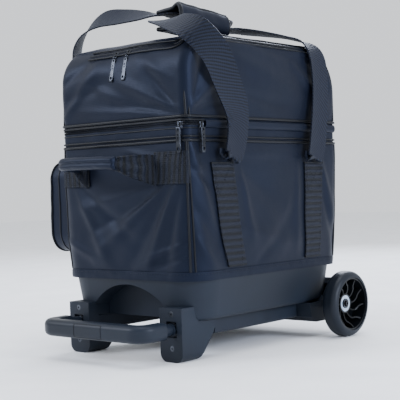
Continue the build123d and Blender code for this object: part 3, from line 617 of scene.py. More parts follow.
lowerCoil = coilTeeth("zip_coil_lower", zipPlane - 0.0016, 0.0004)
dress(lowerCoil, zipTeeth, "root", "zip_fabric")
upperCoil = coilTeeth("zip_coil_upper", zipPlane + 0.0022, 0.0004)
dress(upperCoil, zipTeeth, "lid", "zip_fabric")
for name, height, body in (("zip_tape_edge_lower", zipPlane - 0.007, "root"),
                           ("zip_tape_edge_upper", zipPlane + 0.0065, "lid")):
    line = [ringPlace(coilStart + (coilEnd - coilStart) * i / 200, height, 0.0006)[0] for i in range(201)]
    edge = cordAlong(name, line, 0.0011)
    smooth(edge, 60)
    dress(edge, pipingCord, body, "zip_fabric")
print("hem, piping and main zip")


lidLow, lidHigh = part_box("lid_shell")
flapLow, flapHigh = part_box("top_flap")
upper = dict(frontRadius=0.060, rearRadius=0.075, edge=0.014, wall=0.004, crown=0.003,
             along=150, across=150)
halfLid = (lidHigh[0] - lidLow[0]) / 2
frontY, rearY, baseZ, topZ = lidLow[1], lidHigh[1], lidLow[2], lidHigh[2]


def profileSpot(s, inset=0.0):
    # along the side outline: up the front, over the top and down the rear
    frontR, rearR = upper["frontRadius"], upper["rearRadius"]
    up = topZ - frontR - baseZ
    over = rearY - frontY - frontR - rearR
    down = topZ - rearR - baseZ
    runs = [up, frontR * pi / 2, over, rearR * pi / 2, down]
    travelled = s * sum(runs)
    index = 0
    while index < 4 and travelled > runs[index]:
        travelled -= runs[index]
        index += 1
    part = min(1.0, travelled / runs[index])
    if index == 0:
        return frontY + inset, baseZ + part * up
    if index == 1:
        angle = pi / 2 * part
        return (frontY + frontR - (frontR - inset) * cos(angle),
                topZ - frontR + (frontR - inset) * sin(angle))
    if index == 2:
        return frontY + frontR + over * part, topZ - inset
    if index == 3:
        angle = pi / 2 * (1 - part)
        return (rearY - rearR + (rearR - inset) * cos(angle),
                topZ - rearR + (rearR - inset) * sin(angle))
    return rearY - inset, topZ - rearR - part * down


edgeShare, topShare = 0.06, 0.46


def lidPlace(u, v):
    # u crosses from the left panel over the top to the right panel, v follows the outline
    side = -1 if u < 0.5 else 1
    reach = abs(u - 0.5) * 2
    edge = upper["edge"]
    flat = halfLid - edge
    if reach <= topShare:
        y, z = profileSpot(v)
        return Vector((side * flat * reach / topShare, y, z))
    if reach <= topShare + edgeShare:
        angle = (reach - topShare) / edgeShare * pi / 2
        y, z = profileSpot(v, edge * (1 - cos(angle)))
        return Vector((side * (flat + edge * sin(angle)), y, z))
    part = (reach - topShare - edgeShare) / (1 - topShare - edgeShare)
    y, z = profileSpot(v, edge)
    low = frontY + edge + v * (rearY - frontY - 2 * edge)
    return Vector((side * halfLid, y + (low - y) * part, z + (baseZ - z) * part))


def lidRelief(place, normal):
    total = panelRelief(place, normal, baseZ, topZ + 0.02, lidFrontFolds, lidSideFolds)
    if normal.z > 0.5:
        x, y = place.x / halfLid, (place.y - (frontY + rearY) / 2) / ((rearY - frontY) / 2)
        total += upper["crown"] * max(0, 1 - x * x) * max(0, 1 - y * y)
        total += 0.0012 * noise.noise(place * 18)
    return total


lidBody = mapGrid("shoe_compartment", upper["across"], upper["along"], lidPlace, (0.52, 0.62))
fixNormals(lidBody)
pushOut(lidBody, lidRelief)
pickOnly(lidBody)
bpy.ops.object.mode_set(mode="EDIT")
bpy.ops.mesh.select_all(action="DESELECT")
bpy.ops.mesh.select_mode(type="FACE")
bpy.ops.object.mode_set(mode="OBJECT")
for face in lidBody.data.polygons:
    centre = face.center
    face.select = (flapLow[0] < centre.x < flapHigh[0] and flapLow[1] < centre.y < flapHigh[1]
                   and centre.z > flapLow[2] - 0.002)
bpy.ops.object.mode_set(mode="EDIT")
bpy.ops.mesh.separate(type="SELECTED")
bpy.ops.object.mode_set(mode="OBJECT")
topFlap = [piece for piece in bpy.context.selected_objects if piece is not lidBody][0]
topFlap.name = "top_flap_cover"
thicken(lidBody, upper["wall"])
smooth(lidBody, 60)
dress(lidBody, satin, "lid", "bag_fabric", "lid_shell")
thicken(topFlap, upper["wall"])
smooth(topFlap, 60)
dress(topFlap, satin, "flap", "bag_fabric", "top_flap")


def lidSpot(x, v, out):
    # a point a little outside the fabric at a given x along the outline
    y, z = profileSpot(v, -out)
    y0, z0 = profileSpot(v)
    normal = Vector((0, y - y0, z - z0))
    normal.normalize()
    place = Vector((x, y0, z0))
    return place + normal * (out + lidRelief(place, normal)), normal


lidCords = []
for side in (-1, 1):
    for shift, radius in ((0.0, 0.0022), (0.0065, 0.0016)):
        line = []
        for step in range(90):
            v = 0.004 + step / 89 * 0.992
            angle = pi / 4 + shift * 60
            y, z = profileSpot(v, upper["edge"] * (1 - cos(angle)) - 0.0006)
            sway = 0.003 * sin(pi * min(1, v * 4)) if v < 0.25 else 0
            x = side * (halfLid - upper["edge"] + (upper["edge"] + 0.0006) * sin(angle) - sway)
            line.append((x, y, z))
        lidCords.append(cordAlong("cord", line, radius))
for height, radius in ((baseZ + 0.001, 0.0024), (baseZ - 0.0048, 0.0015)):
    ring = [ringPlace(i / 160, height, 0.0012)[0] for i in range(160)]
    lidCords.append(cordAlong("cord", ring, radius, closed=True))
lidPiping = joinAll(lidCords, "lid_piping")
smooth(lidPiping, 60)
dress(lidPiping, pipingCord, "lid", "bag_fabric")

# the top zip follows the flap's front edge and its right edge
vAtFlap = 0.0
while profileSpot(vAtFlap)[0] < flapLow[1]:
    vAtFlap += 0.001
vAtRear = vAtFlap
while profileSpot(vAtRear)[0] < flapHigh[1]:
    vAtRear += 0.001
zipTurn, turnShare, zipLift = 0.012, 0.02, 0.0012
turnX = flapHigh[0] - zipTurn
route = [lidSpot(flapLow[0] + (turnX - flapLow[0]) * i / 60, vAtFlap, zipLift) for i in range(61)]
for i in range(1, 7):
    angle = pi / 2 * i / 7
    route.append(lidSpot(turnX + zipTurn * sin(angle), vAtFlap + turnShare * (1 - cos(angle)), zipLift))
route += [lidSpot(flapHigh[0], vAtFlap + turnShare + (vAtRear - vAtFlap - turnShare) * i / 90, zipLift)
          for i in range(91)]
teeth = []
for (a, normal), (b, _) in zip(route, route[1:]):
    run = (b - a).length
    count = max(1, int(run / 0.0019))
    for i in range(count):
        spot = a.lerp(b, i / count)
        across = (b - a).cross(normal).normalized() * 0.0026
        teeth.append((spot - across, spot + across, normal, 0.0009))
topTeeth = sewn("top_zip_coil", teeth)
dress(topTeeth, zipTeeth, "lid", "zip_fabric")
edges = []
for sway in (-1, 1):
    line = []
    for (a, normal), (b, _) in zip(route, route[1:]):
        across = (b - a).cross(normal).normalized() * 0.0085 * sway
        line.append(a + across)
    edges.append(cordAlong("edge", line[::2], 0.0014))
topEdges = joinAll(edges, "top_zip_tape_edges")
smooth(topEdges, 60)
dress(topEdges, pipingCord, "lid", "zip_fabric")
print("upper compartment")


def stripGrid(name, width, run, place, ribs, depth, finish, body, slotName, *replaced):
    # a webbing strip with real cross ribs: place(u, v) gives its middle surface
    across, along = 12, max(8, int(run / 0.0012))
    strip = mapGrid(name, across, along, place, (width, run))
    fixNormals(strip)
    if ribs:
        counts = run / ribs
        ribHeight = 0.00045
        moves = [Vector(n.vector) for n in strip.data.vertex_normals]
        for index, (point, normal) in enumerate(zip(strip.data.vertices, moves)):
            point.co += normal * ribHeight * sin(tau * counts * (index // across) / along)
    thicken(strip, depth, 0)
    smooth(strip, 80)
    dress(strip, finish, body, slotName, *replaced)
    return strip


anchorLow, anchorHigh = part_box("strap_anchors")
webbing = dict(width=0.050, thick=0.0024, frontY=anchorLow[1] + 0.025, rearY=anchorHigh[1] - 0.025,
               top=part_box("carry_strap_right")[0][2] - 0.001, bottom=anchorLow[2],
               leftTop=anchorHigh[2], leftBottom=anchorHigh[2] - 0.016)
stripLift = 0.0016    # the webbing's middle surface above the cloth
stitchLift = stripLift + webbing["thick"] / 2 + 0.0004
strips, sewing = [], []
for y in (webbing["frontY"], webbing["rearY"]):
    def place(u, v, y=y):
        height = webbing["bottom"] + v * (webbing["top"] - webbing["bottom"])
        lean = 0.010 * max(0.0, 1 - v * 2.4) ** 1.5 * (1 if y < 0 else 0.3)
        return bodySpot(sideShare(y + lean + (u - 0.5) * webbing["width"]), height, stripLift)[0]
    strips.append(stripGrid("strip", webbing["width"], webbing["top"] - webbing["bottom"], place, 0.0052,
                            webbing["thick"], stripWebbing, "root", "webbing"))
    inset, high, low = 0.006, webbing["top"] - 0.004, webbing["top"] - 0.050
    near, far = y - webbing["width"] / 2 + inset, y + webbing["width"] / 2 - inset
    for a, b in (((near, high), (far, high)), ((far, high), (far, low)), ((far, low), (near, low)),
                 ((near, low), (near, high)), ((near, high), (far, low)), ((far, high), (near, low))):
        row = []
        for i in range(13):
            yy, zz = a[0] + (b[0] - a[0]) * i / 12, a[1] + (b[1] - a[1]) * i / 12
            row.append(bodySpot(sideShare(yy), zz, stitchLift))
        sewing += stitchRow(row)
    for edge in (-1, 1):
        row = []
        for i in range(40):
            zz = webbing["bottom"] + 0.004 + i / 39 * (webbing["top"] - webbing["bottom"] - 0.008)
            row.append(bodySpot(sideShare(y + edge * (webbing["width"] / 2 - 0.003)), zz, stitchLift))
        sewing += stitchRow(row)

    def placeLeft(u, v, y=y):
        height = webbing["leftBottom"] + v * (webbing["leftTop"] - webbing["leftBottom"])
        return bodySpot(sideShare(y + (u - 0.5) * webbing["width"], False), height, stripLift)[0]
    strips.append(stripGrid("strip", webbing["width"], webbing["leftTop"] - webbing["leftBottom"], placeLeft,
                            0.0052, webbing["thick"], stripWebbing, "root", "webbing"))
anchorStrips = joinAll(strips, "anchor_strips")
dress(anchorStrips, stripWebbing, "root", "webbing", "strap_anchors")
stripStitches = sewn("strip_stitches", sewing)
dress(stripStitches, thread, "root", "webbing")


def smoothRoute(stops, count):
    # a smooth curve through given stops: (place, across), in mm
    result = []
    for index in range(count + 1):
        t = index / count * (len(stops) - 1)
        i = min(int(t), len(stops) - 2)
        f = t - i
        picks = [stops[max(i - 1, 0)], stops[i], stops[i + 1], stops[min(i + 2, len(stops) - 1)]]
        weights = (-0.5 * f + f * f - 0.5 * f ** 3, 1 - 2.5 * f * f + 1.5 * f ** 3,
                   0.5 * f + 2 * f * f - 1.5 * f ** 3, -0.5 * f * f + 0.5 * f ** 3)
        place, across = Vector(), Vector()
        for weight, (spot, way) in zip(weights, picks):
            place += weight * Vector(spot) * mm
            across += weight * Vector(way).normalized()
        result.append((place, across.normalized()))
    return result


def strapPiece(name, stops, body, node, cup=0.0015):
    stops = [((x, y - middleY, z), way) for x, y, z, way in stops]
    line = smoothRoute(stops, 150)
    run = sum((b[0] - a[0]).length for a, b in zip(line, line[1:]))
    width = webbing["width"] - 0.004

    def place(u, v):
        t = v * (len(line) - 1)
        i = min(int(t), len(line) - 2)
        f = t - i
        spot = line[i][0].lerp(line[i + 1][0], f)
        across = line[i][1].lerp(line[i + 1][1], f)
        along = (line[i + 1][0] - line[i][0]).normalized()
        across = (across - along * across.dot(along)).normalized()
        out = across.cross(along).normalized()
        lean = (u - 0.5) * 2
        return spot + across * width / 2 * lean + out * cup * (lean * lean - 0.3)
    stripGrid(name, width, run, place, 0, webbing["thick"], strapWebbing, body, "webbing", node)


middleY = 175.5    # the front of the feet lies this far in front of the middle, in mm
rearward, frontward = (0, 1, 0), (0, -1, 0)
rightStops = [
    (151.4, 97, 328, (0, 1, -0.1)), (151.8, 97, 319, (0, 1, -0.1)), (156, 99, 315, (0, 1, -0.1)),
    (159, 104, 330, (0, 1, -0.1)), (160, 110, 365, (0.1, 1, 0.1)), (162, 104, 395, (0.3, 1, 0.3)),
    (164, 82, 432, (0.6, 1, 0.5)), (167, 51, 475, (0.8, 0.8, 0.6)), (149, 27, 509, (0.9, 0.5, 0.5)),
    (102, 36, 528, (1, 0.5, 0.3)), (58, 56, 538, (1, 0.5, 0.1)), (30, 84, 544, (1, 0.35, 0)),
    (17, 107, 546, (1, 0.05, 0)), (17, 190, 546, (1, 0, 0)), (17, 277, 546, (1, -0.05, 0)),
    (30, 294, 545, (1, -0.4, 0)), (66, 312, 538, (0.8, -0.8, 0)), (105, 330, 528, (0.4, -1, 0)),
    (134, 343, 516, (0.1, -1, 0.1)), (149, 352, 492, frontward), (153, 354, 450, frontward),
    (154, 350, 400, frontward), (156, 338, 345, frontward), (155, 331, 315, frontward),
    (151.8, 330, 317, frontward), (151.4, 330, 326, frontward),
]
leftStops = [
    (-148.8, 95, 340, frontward), (-153, 90, 380, frontward), (-157, 80, 430, (0.3, -1, 0)),
    (-159, 68, 485, (0.5, -0.9, 0)), (-155, 68, 522, (0.4, -0.8, -0.3)),
    (-136, 74, 549, (0.2, -0.8, -0.6)), (-106, 80, 563, (0.1, -0.8, -0.8)),
    (-70, 88, 563, (0.2, -0.8, -0.7)), (-38, 100, 562, (0.4, -0.8, -0.5)),
    (-12, 118, 562, (0.8, -0.6, -0.2)), (10, 145, 561, (1, 0, 0)), (10, 245, 561, (1, 0, 0)),
    (-12, 282, 562, (1, 0.5, 0)), (-50, 306, 556, (0.6, 1, 0)), (-100, 320, 544, (0.2, 1, 0)),
    (-145, 328, 520, rearward), (-166, 332, 480, rearward), (-166, 333, 430, rearward),
    (-158, 332, 380, rearward), (-148.8, 330, 340, rearward),
]
strapPiece("carry_strap_right_webbing", rightStops, "strap_right", "carry_strap_right")
strapPiece("carry_strap_left_webbing", leftStops, "strap_left", "carry_strap_left")
print("webbing")


wrapLow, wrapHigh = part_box("handle_wrap")
wrap = dict(pad=0.0065, near=-0.001, far=-0.011)
# the section runs from the lower left lip up the right side to a standing ridge, then back over the straps
wrapSection = smoothRoute([((x, 0, z), (0, 1, 0)) for x, z in (
    (-9, 538), (8, 536), (28, 536), (40, 541), (44, 551), (44, 562), (41, 571), (36, 575),
    (31, 573), (24, 569), (6, 568), (-9, 567))], 80)


def wrapPlace(u, v):
    t = u * (len(wrapSection) - 1)
    i = min(int(t), len(wrapSection) - 2)
    spot = wrapSection[i][0].lerp(wrapSection[i + 1][0], t - i)
    rise = (spot.z - wrapLow[2]) / (wrapHigh[2] - wrapLow[2])
    y = wrapLow[1] + v * (wrapHigh[1] - wrapLow[1]) + 0.005 * rise * (0.5 - v)
    slope = (wrap["near"] * (1 - v) + wrap["far"] * v) * (0.35 + 0.65 * rise)
    quilt = 0.0011 * noise.noise(Vector((spot.x, y, spot.z)) * 40)
    return Vector((spot.x + quilt, y, spot.z + slope + quilt))


wrapCover = mapGrid("handle_wrap_cover", 90, 70, wrapPlace, (0.17, wrapHigh[1] - wrapLow[1]))
fixNormals(wrapCover)
thicken(wrapCover, wrap["pad"], 0)
smooth(wrapCover, 60)
dress(wrapCover, satin, "strap_right", "bag_fabric", "handle_wrap")
rim = [wrapPlace(i / 30, 0) for i in range(31)] + [wrapPlace(1, i / 24) for i in range(1, 25)]
rim += [wrapPlace(1 - i / 30, 1) for i in range(1, 31)] + [wrapPlace(0, 1 - i / 24) for i in range(1, 24)]
ridgeShare = 0.61
ridge = [wrapPlace(ridgeShare, i / 40) + Vector((0, 0, 0.001)) for i in range(41)]
wrapBinding = joinAll([cordAlong("binding", rim, 0.0038, closed=True), cordAlong("binding", ridge, 0.0042)],
                      "handle_wrap_binding")
smooth(wrapBinding, 60)
dress(wrapBinding, pipingCord, "strap_right", "bag_fabric")


grabLow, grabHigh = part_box("front_grab_handle")
patchLow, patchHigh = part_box("front_grab_patches")
grab = dict(thick=0.0088, tall=0.0105, arch=0.003)
padLeft, padReach, patchFace = grabLow[0] / mm, (grabLow[1] + 0.009) / mm, patchLow[1] / mm
padHeight = (grabLow[2] + grabHigh[2]) / 2 / mm
padRoute = [(-83, patchFace - 12), (padLeft + 9, patchFace - 26), (padLeft + 8, padReach + 14),
            (padLeft + 18, padReach + 2), (-50, padReach), (-15, padReach), (18, padReach + 1),
            (34, padReach + 3), (42, padReach + 5)]
padLine = smoothRoute([((x, y, padHeight), (0, 0, 1)) for x, y in padRoute], 90)


def padPlace(u, v):
    # a flattened padded tube with a sewn line along its front, thin at both ends
    t = v * (len(padLine) - 1)
    i = min(int(t), len(padLine) - 2)
    spot = padLine[i][0].lerp(padLine[i + 1][0], t - i)
    along = (padLine[i + 1][0] - padLine[i][0]).normalized()
    out = along.cross(Vector((0, 0, 1))).normalized()
    angle = tau * u
    end = min(1.0, min(v, 1 - v) / 0.10)
    full = 0.30 + 0.70 * end ** 2 * (3 - 2 * end)
    pinch = 1 - 0.30 * exp(-(sin(angle) / 0.24) ** 2) * end
    wrinkle = 0.0007 * noise.noise(spot * 75 + Vector((angle, 0, 0))) * end
    thick = grab["thick"] * full * pinch + wrinkle
    rise = grab["tall"] * sin(angle) * (1.1 - 0.1 * end) + grab["arch"] * sin(pi * v)
    return spot + out * thick * cos(angle) + Vector((0, 0, 1)) * rise


grabCover = mapGrid("front_grab_handle_cover", 48, 150, padPlace, (0.07, 0.2), close=True)
fixNormals(grabCover)
smooth(grabCover, 60)
dress(grabCover, satin, "root", "bag_fabric", "front_grab_handle")


def legStrip(name, stops):
    # webbing that widens from the pad's end to the patch, with two soft folds along it
    line = smoothRoute([((x, y, z), (0, 0, 1)) for x, y, z, _ in stops], 60)
    widths = [stop[3] * mm for stop in stops]

    def place(u, v):
        t = v * (len(line) - 1)
        i = min(int(t), len(line) - 2)
        spot = line[i][0].lerp(line[i + 1][0], t - i)
        along = (line[i + 1][0] - line[i][0]).normalized()
        out = along.cross(Vector((0, 0, 1))).normalized()
        share = v * (len(widths) - 1)
        k = min(int(share), len(widths) - 2)
        width = widths[k] + (widths[k + 1] - widths[k]) * (share - k)
        fold = 0.0026 * sin(pi * v) * cos(tau * 1.5 * (u - 0.5))
        return spot + Vector((0, 0, 1)) * width * (u - 0.5) + out * fold
    stripGrid(name, 0.05, 0.08, place, 0.0046, webbing["thick"], stripWebbing, "root", "webbing")


legStrip("grab_handle_leg_right", [(34, padReach + 3, padHeight, 19), (46, padReach + 6, padHeight - 1, 22),
         (60, padReach + 18, padHeight - 5, 33), (69, patchFace - 13, padHeight - 9, 44),
         (78, patchFace - 1.2, padHeight - 12, 49)])
legStrip("grab_handle_leg_left", [(-78, patchFace - 1.2, padHeight - 12, 49),
         (-83, patchFace - 9, padHeight - 7, 38), (padLeft + 9, patchFace - 24, padHeight - 1, 20)])

patches, patchSewing = [], []
frontStart = flatWide / 2 + arcRun * 2 + flatDeep


def frontShare(x):
    return (frontStart + (bag["neckWidth"] / 2 - referenceRadius - x)) / ringRun


patchStitchLift = 0.0034
for side in (-1, 1):
    inner, outer = side * 0.066, side * patchHigh[0]

    def placePatch(u, v, inner=inner, outer=outer):
        x = inner + (outer - inner) * v
        height = patchLow[2] + u * (patchHigh[2] - patchLow[2])
        return bodySpot(frontShare(x), height, stripLift)[0]
    patches.append(stripGrid("patch", patchHigh[2] - patchLow[2], abs(outer - inner), placePatch, 0.0046,
                             webbing["thick"], stripWebbing, "root", "webbing"))
    a, b = inner + side * 0.022, outer - side * 0.004
    low, high = patchLow[2] + 0.005, patchHigh[2] - 0.005
    for (x0, z0), (x1, z1) in (((a, low), (b, low)), ((b, low), (b, high)), ((b, high), (a, high)),
                               ((a, high), (a, low)), ((a, low), (b, high)), ((a, high), (b, low))):
        row = [bodySpot(frontShare(x0 + (x1 - x0) * i / 12), z0 + (z1 - z0) * i / 12, patchStitchLift)
               for i in range(13)]
        patchSewing += stitchRow(row)
frontPatches = joinAll(patches, "grab_handle_patches")
dress(frontPatches, stripWebbing, "root", "webbing", "front_grab_patches")
patchStitches = sewn("patch_stitches", patchSewing)
dress(patchStitches, thread, "root", "webbing")
print("grab handle")


pocketLow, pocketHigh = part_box("side_pocket")
pocket = dict(corner=0.030, edge=0.020)


def pocketPlace(u, v):
    # v runs out from the bag along the wall, over the rounded edge and in to the middle of the face
    x0, x1 = pocketHigh[0] - 0.004, pocketLow[0]
    halfLong, halfTall = (pocketHigh[1] - pocketLow[1]) / 2, (pocketHigh[2] - pocketLow[2]) / 2
    middle = Vector((0, (pocketHigh[1] + pocketLow[1]) / 2, (pocketHigh[2] + pocketLow[2]) / 2))
    depth = x0 - x1
    if v < 0.34:
        inset, x = 0.0, x0 - (depth - pocket["edge"]) * v / 0.34
    elif v < 0.5:
        angle = (v - 0.34) / 0.16 * pi / 2
        inset, x = pocket["edge"] * (1 - cos(angle)), x1 + pocket["edge"] * (1 - sin(angle))
    else:
        share = (v - 0.5) / 0.5
        inset, x = pocket["edge"] + share * (halfTall - pocket["edge"] - 0.0005), x1
    radius = max(0.0008, pocket["corner"] - inset)
    wide, tall = halfLong - inset - radius, max(0.0003, halfTall - inset - radius)
    runs = [2 * wide, radius * pi / 2, 2 * tall, radius * pi / 2] * 2
    fixed = [0.30, 0.04, 0.12, 0.04] * 2
    travelled = (u % 1.0) * sum(fixed)
    index = 0
    while index < 7 and travelled > fixed[index]:
        travelled -= fixed[index]
        index += 1
    part = travelled / fixed[index]
    corners = [(wide, tall), (wide, -tall), (-wide, -tall), (-wide, tall)]
    if index % 2:
        cy, cz = corners[index // 2]
        angle = pi / 2 - (index // 2) * pi / 2 - part * pi / 2
        y, z = cy + radius * cos(angle), cz + radius * sin(angle)
    else:
        a, b = corners[(index // 2 + 3) % 4], corners[index // 2]
        push = [(0, radius), (radius, 0), (0, -radius), (-radius, 0)][index // 2]
        y, z = a[0] + (b[0] - a[0]) * part + push[0], a[1] + (b[1] - a[1]) * part + push[1]
    swell = 0.0016 * noise.noise(Vector((y, z, x)) * 16) + 0.0009 * noise.noise(Vector((y, z, x)) * 45)
    return middle + Vector((x + swell, y + swell * 0.5, z + swell * 0.5))


pocketCover = mapGrid("side_pocket_cover", 220, 70, pocketPlace, (1.0, 0.13), close=True)
fixNormals(pocketCover)
thicken(pocketCover, 0.0028)
smooth(pocketCover, 60)
dress(pocketCover, satin, "root", "bag_fabric", "side_pocket")
pocketCords = []
for v in (0.36, 0.02):
    loop = [pocketPlace(i / 140, v) for i in range(140)]
    middle = sum(loop, Vector()) / len(loop)
    loop = [p + (Vector((0, p.y - middle.y, p.z - middle.z)).normalized() * 0.0008) for p in loop]
    pocketCords.append(cordAlong("cord", loop, 0.0021, closed=True))
zipLine = [pocketPlace(0.58 + i / 100 * 0.84 - 0.12, 0.2) for i in range(101)]
pocketCords.append(cordAlong("cord", zipLine, 0.0016))
pocketPiping = joinAll(pocketCords, "side_pocket_piping")
smooth(pocketPiping, 60)
dress(pocketPiping, pipingCord, "root", "bag_fabric")


rearLow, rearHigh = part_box("rear_grab_handle")
tall = rearHigh[2] - rearLow[2]
wallY = bag["rearHigh"] + 0.0022
footY, bendY, reachY = wallY + 0.0005, wallY + 0.0008, rearHigh[1] - 0.003
rearStops = [(rearLow[0], footY), (rearLow[0] + 0.012, bendY), (rearLow[0] + 0.026, reachY),
             (0, rearHigh[1] - 0.002), (rearHigh[0] - 0.026, reachY), (rearHigh[0] - 0.012, bendY),
             (rearHigh[0], footY)]
rearLine = smoothRoute([((x / mm, y / mm, (rearLow[2] + rearHigh[2]) / 2 / mm), (0, 0, 1))
                        for x, y in rearStops], 60)


def rearPlace(u, v):
    t = v * (len(rearLine) - 1)
    i = min(int(t), len(rearLine) - 2)
    spot = rearLine[i][0].lerp(rearLine[i + 1][0], t - i)
    return spot + Vector((0, 0, (u - 0.5) * tall))


stripGrid("rear_grab_webbing", tall, 0.14, rearPlace, 0.0046, webbing["thick"], stripWebbing,
          "root", "webbing", "rear_grab_handle")
print("pocket and rear handle")


def buttonGapShade():
    # a thin dark cord round the button's edge: painted shade standing in for the gap between button and grip
    low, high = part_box("release_button")
    gripLow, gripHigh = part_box("grip_lower_half")[0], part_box("grip_upper_half")[1]
    middle, half = (gripLow[2] + gripHigh[2]) / 2, (gripHigh[2] - gripLow[2]) / 2
    edge, reach = 0.009, low[2] - middle - 0.0004

    def onBar(x, rise):
        # a point on the bar's rounded front, a little outside it
        past = max(0.0, abs(rise) - (half - edge))
        return Vector((x, gripLow[1] + edge - sqrt(edge * edge - past * past) - 0.0001, middle + rise))
    rises = [reach + i / 16 * -2 * reach for i in range(17)]
    xs = [high[0] + 0.0003 - i / 12 * (high[0] - low[0] + 0.0006) for i in range(13)]
    loop = [onBar(xs[0], r) for r in rises] + [onBar(x, rises[-1]) for x in xs[1:]]
    loop += [onBar(xs[-1], r) for r in rises[::-1][1:]] + [onBar(x, rises[0]) for x in xs[::-1][1:-1]]
    gapShadeCord = cordAlong("release_button_painted_gap_shade", loop, 0.0005, closed=True)
    dress(gapShadeCord, pipingCord, "handle", "button_plastic")


buttonGapShade()


def pullTab(name, node, body, axis):
    # a long tab with a round hole at its foot and an eye for the slider's bail
    low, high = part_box(node)
    middle = [(a + b) / 2 for a, b in zip(low, high)]
    hangLow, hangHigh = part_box("front_pull")
    length, wide, thick = hangHigh[2] - hangLow[2] + 0.001, 0.0094, 0.0018
    tab = blockAt("tab", (-wide / 2, -thick / 2, -length / 2), (wide / 2, thick / 2, length / 2),
                    0.0006, 2)
    pickOnly(tab)
    bpy.ops.object.mode_set(mode="EDIT")
    bpy.ops.mesh.select_all(action="SELECT")
    bpy.ops.mesh.subdivide(number_cuts=6)
    bpy.ops.object.mode_set(mode="OBJECT")
    for point in tab.data.vertices:
        share = (point.co.z + length / 2) / length
        waist = 1.0 - 0.12 * sin(pi * share) if share < 0.85 else 0.9
        point.co.x *= waist * (1.0 if share > 0.06 else 0.72)
    cutters = []
    for z, radius in ((-length / 2 + 0.0060, 0.0024), (length / 2 - 0.0036, 0.0019),
                      (length / 2 - 0.0120, 0.0013), (length / 2 - 0.0165, 0.0013)):
        deselectAll()
        bpy.ops.mesh.primitive_cylinder_add(vertices=24, radius=radius, depth=0.01, location=(0, 0, z),
                                            rotation=(pi / 2, 0, 0))
        cutters.append(bpy.context.object)
    cutter = joinAll(cutters, "cutter")
    hole = tab.modifiers.new("hole", "BOOLEAN")
    hole.object = cutter
    hole.operation = "DIFFERENCE"
    applyModifiers(tab)
    bpy.data.objects.remove(cutter)
    if axis == "x":
        tab.rotation_euler = (0, 0, pi / 2)
    if node.startswith("top"):
        tab.rotation_euler = (-radians(14), 0, 0)    # the top pulls lie back on the curve of the lid
    tab.location = middle
    setPlace(tab)
    tab.name = name
    smooth(tab, 35)
    dress(tab, gunmetal, body, "zip_metal", node)


def sliderBody(name, node, body, spot, turn):
    # two waisted plates and an arched bail
    plates = []
    for depth in (-0.0026, -0.0002):
        plate = blockAt("plate", (-0.0046, depth - 0.0009, -0.0056), (0.0046, depth + 0.0007, 0.0056),
                        0.0007, 2)
        pickOnly(plate)
        bpy.ops.object.mode_set(mode="EDIT")
        bpy.ops.mesh.select_all(action="SELECT")
        bpy.ops.mesh.subdivide(number_cuts=4)
        bpy.ops.object.mode_set(mode="OBJECT")
        for point in plate.data.vertices:
            point.co.x *= 1.0 - 0.22 * exp(-((point.co.z + 0.001) / 0.0024) ** 2)
        plates.append(plate)
    bail = [(0, -0.0034, 0.0042), (0, -0.0052, 0.0040), (0, -0.0056, 0.0015), (0, -0.0056, -0.0022),
            (0, -0.0052, -0.0044), (0, -0.0034, -0.0046)]
    plates.append(cordAlong("bail", bail, 0.0009, sides=2))
    piece = joinAll(plates, name)
    piece.matrix_world = Matrix.Translation(spot) @ turn
    setPlace(piece)
    smooth(piece, 35)
    dress(piece, gunmetal, body, "zip_metal", node)


def nodeMiddle(node):
    low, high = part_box(node)
    return Vector([(a + b) / 2 for a, b in zip(low, high)])


upright = Matrix.Identity(4)
sliderBody("front_zip_slider", "front_slider", "front_slider",
           nodeMiddle("front_slider") + Vector((0, 0.0018, 0)), upright)
pullTab("front_zip_pull", "front_pull", "front_pull", "y")
sliderBody("side_zip_slider", "side_slider", "side_slider",
           nodeMiddle("side_slider") + Vector((-0.0018, 0, 0)), Matrix.Rotation(pi / 2, 4, "Z"))
pullTab("side_zip_pull", "side_pull", "side_pull", "x")
for side in ("left", "right"):
    sliderBody(f"top_zip_slider_{side}", f"top_slider_{side}", f"top_slider_{side}",
               nodeMiddle(f"top_slider_{side}") + Vector((0, 0.0012, -0.001)),
               Matrix.Rotation(-radians(38), 4, "X"))
    pullTab(f"top_zip_pull_{side}", f"top_pull_{side}", f"top_pull_{side}", "y")
print("sliders and pulls")


def hingePlace(u, v):
    y = -0.110 + u * 0.330
    spot, normal = ringPlace(sideShare(y), zipPlane)
    angle = pi * (v - 0.5)
    return spot + normal * (0.0008 + 0.0040 * cos(angle)) + Vector((0, 0, 0.0068 * sin(angle)))


lidHinge = mapGrid("lid_cloth_hinge", 90, 10, hingePlace, (0.33, 0.014))
fixNormals(lidHinge)
thicken(lidHinge, 0.0009)
smooth(lidHinge, 70)
lidHinge.data.materials.clear()
lidHinge.data.materials.append(bandCloth)
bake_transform(lidHinge)


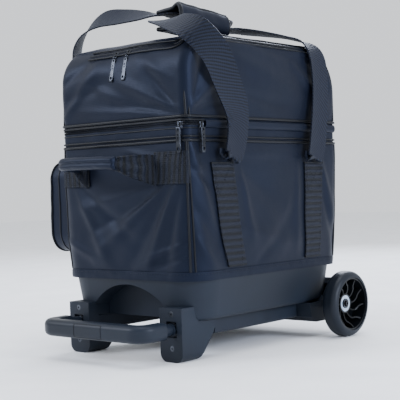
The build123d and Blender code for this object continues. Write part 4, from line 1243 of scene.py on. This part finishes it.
view = dict(azimuth=40.74, elevation=0.58, roll=-1.88, distance=1.7227, target=(0.04175, -0.0255, 0.24729),
            lens=91.935, sensor=36.0)
azimuth, elevation, roll = (radians(view[key]) for key in ("azimuth", "elevation", "roll"))
backward = Vector((sin(azimuth) * cos(elevation), -cos(azimuth) * cos(elevation), sin(elevation)))
level = Vector((cos(azimuth), sin(azimuth), 0))
tiltedRight = level * cos(roll) + backward.cross(level) * sin(roll)
tiltedUp = backward.cross(tiltedRight)
deselectAll()
bpy.ops.object.camera_add()
camera = bpy.context.object
camera.data.sensor_width = view["sensor"]
camera.data.lens = view["lens"]
aim = Matrix((tiltedRight, tiltedUp, backward)).transposed().to_4x4()
camera.matrix_world = Matrix.Translation(Vector(view["target"]) + backward * view["distance"]) @ aim
bpy.context.scene.camera = camera

deselectAll()
bpy.ops.mesh.primitive_plane_add(size=14, location=(0, 0, 0))
floor = bpy.context.object
floor.name = "studio_floor"
paper = moulded("white_studio_paper", "#f4f5f7", "#fafbfc", 0.9)
floor.data.materials.append(paper)


def softbox(name, place, size, power, colour="#ffffff"):
    deselectAll()
    bpy.ops.object.light_add(type="AREA", location=place)
    lamp = bpy.context.object
    lamp.name = name
    lamp.data.shape = "RECTANGLE"
    lamp.data.size, lamp.data.size_y = size
    lamp.data.energy = power
    lamp.data.color = linear(colour)[:3]
    aim = Vector((0, 0, 0.28)) - Vector(place)
    lamp.rotation_euler = aim.to_track_quat("-Z", "Y").to_euler()


softbox("key_left", (-1.6, -2.0, 1.7), (1.1, 0.9), 58, "#e9f0ff")
softbox("side_right", (2.5, 0.1, 1.0), (1.1, 0.9), 62, "#dfe9ff")
softbox("overhead", (0.1, 0.2, 2.3), (1.6, 1.6), 40, "#f2f6ff")
softbox("rim_back", (-0.9, 2.0, 1.4), (1.2, 1.0), 40, "#e6eeff")
world = bpy.data.worlds.new("white_studio")
bpy.context.scene.world = world
world.use_nodes = True
world.node_tree.nodes["Background"].inputs["Color"].default_value = linear("#f3f6fb")
world.node_tree.nodes["Background"].inputs["Strength"].default_value = 1.25

print("scene ready")
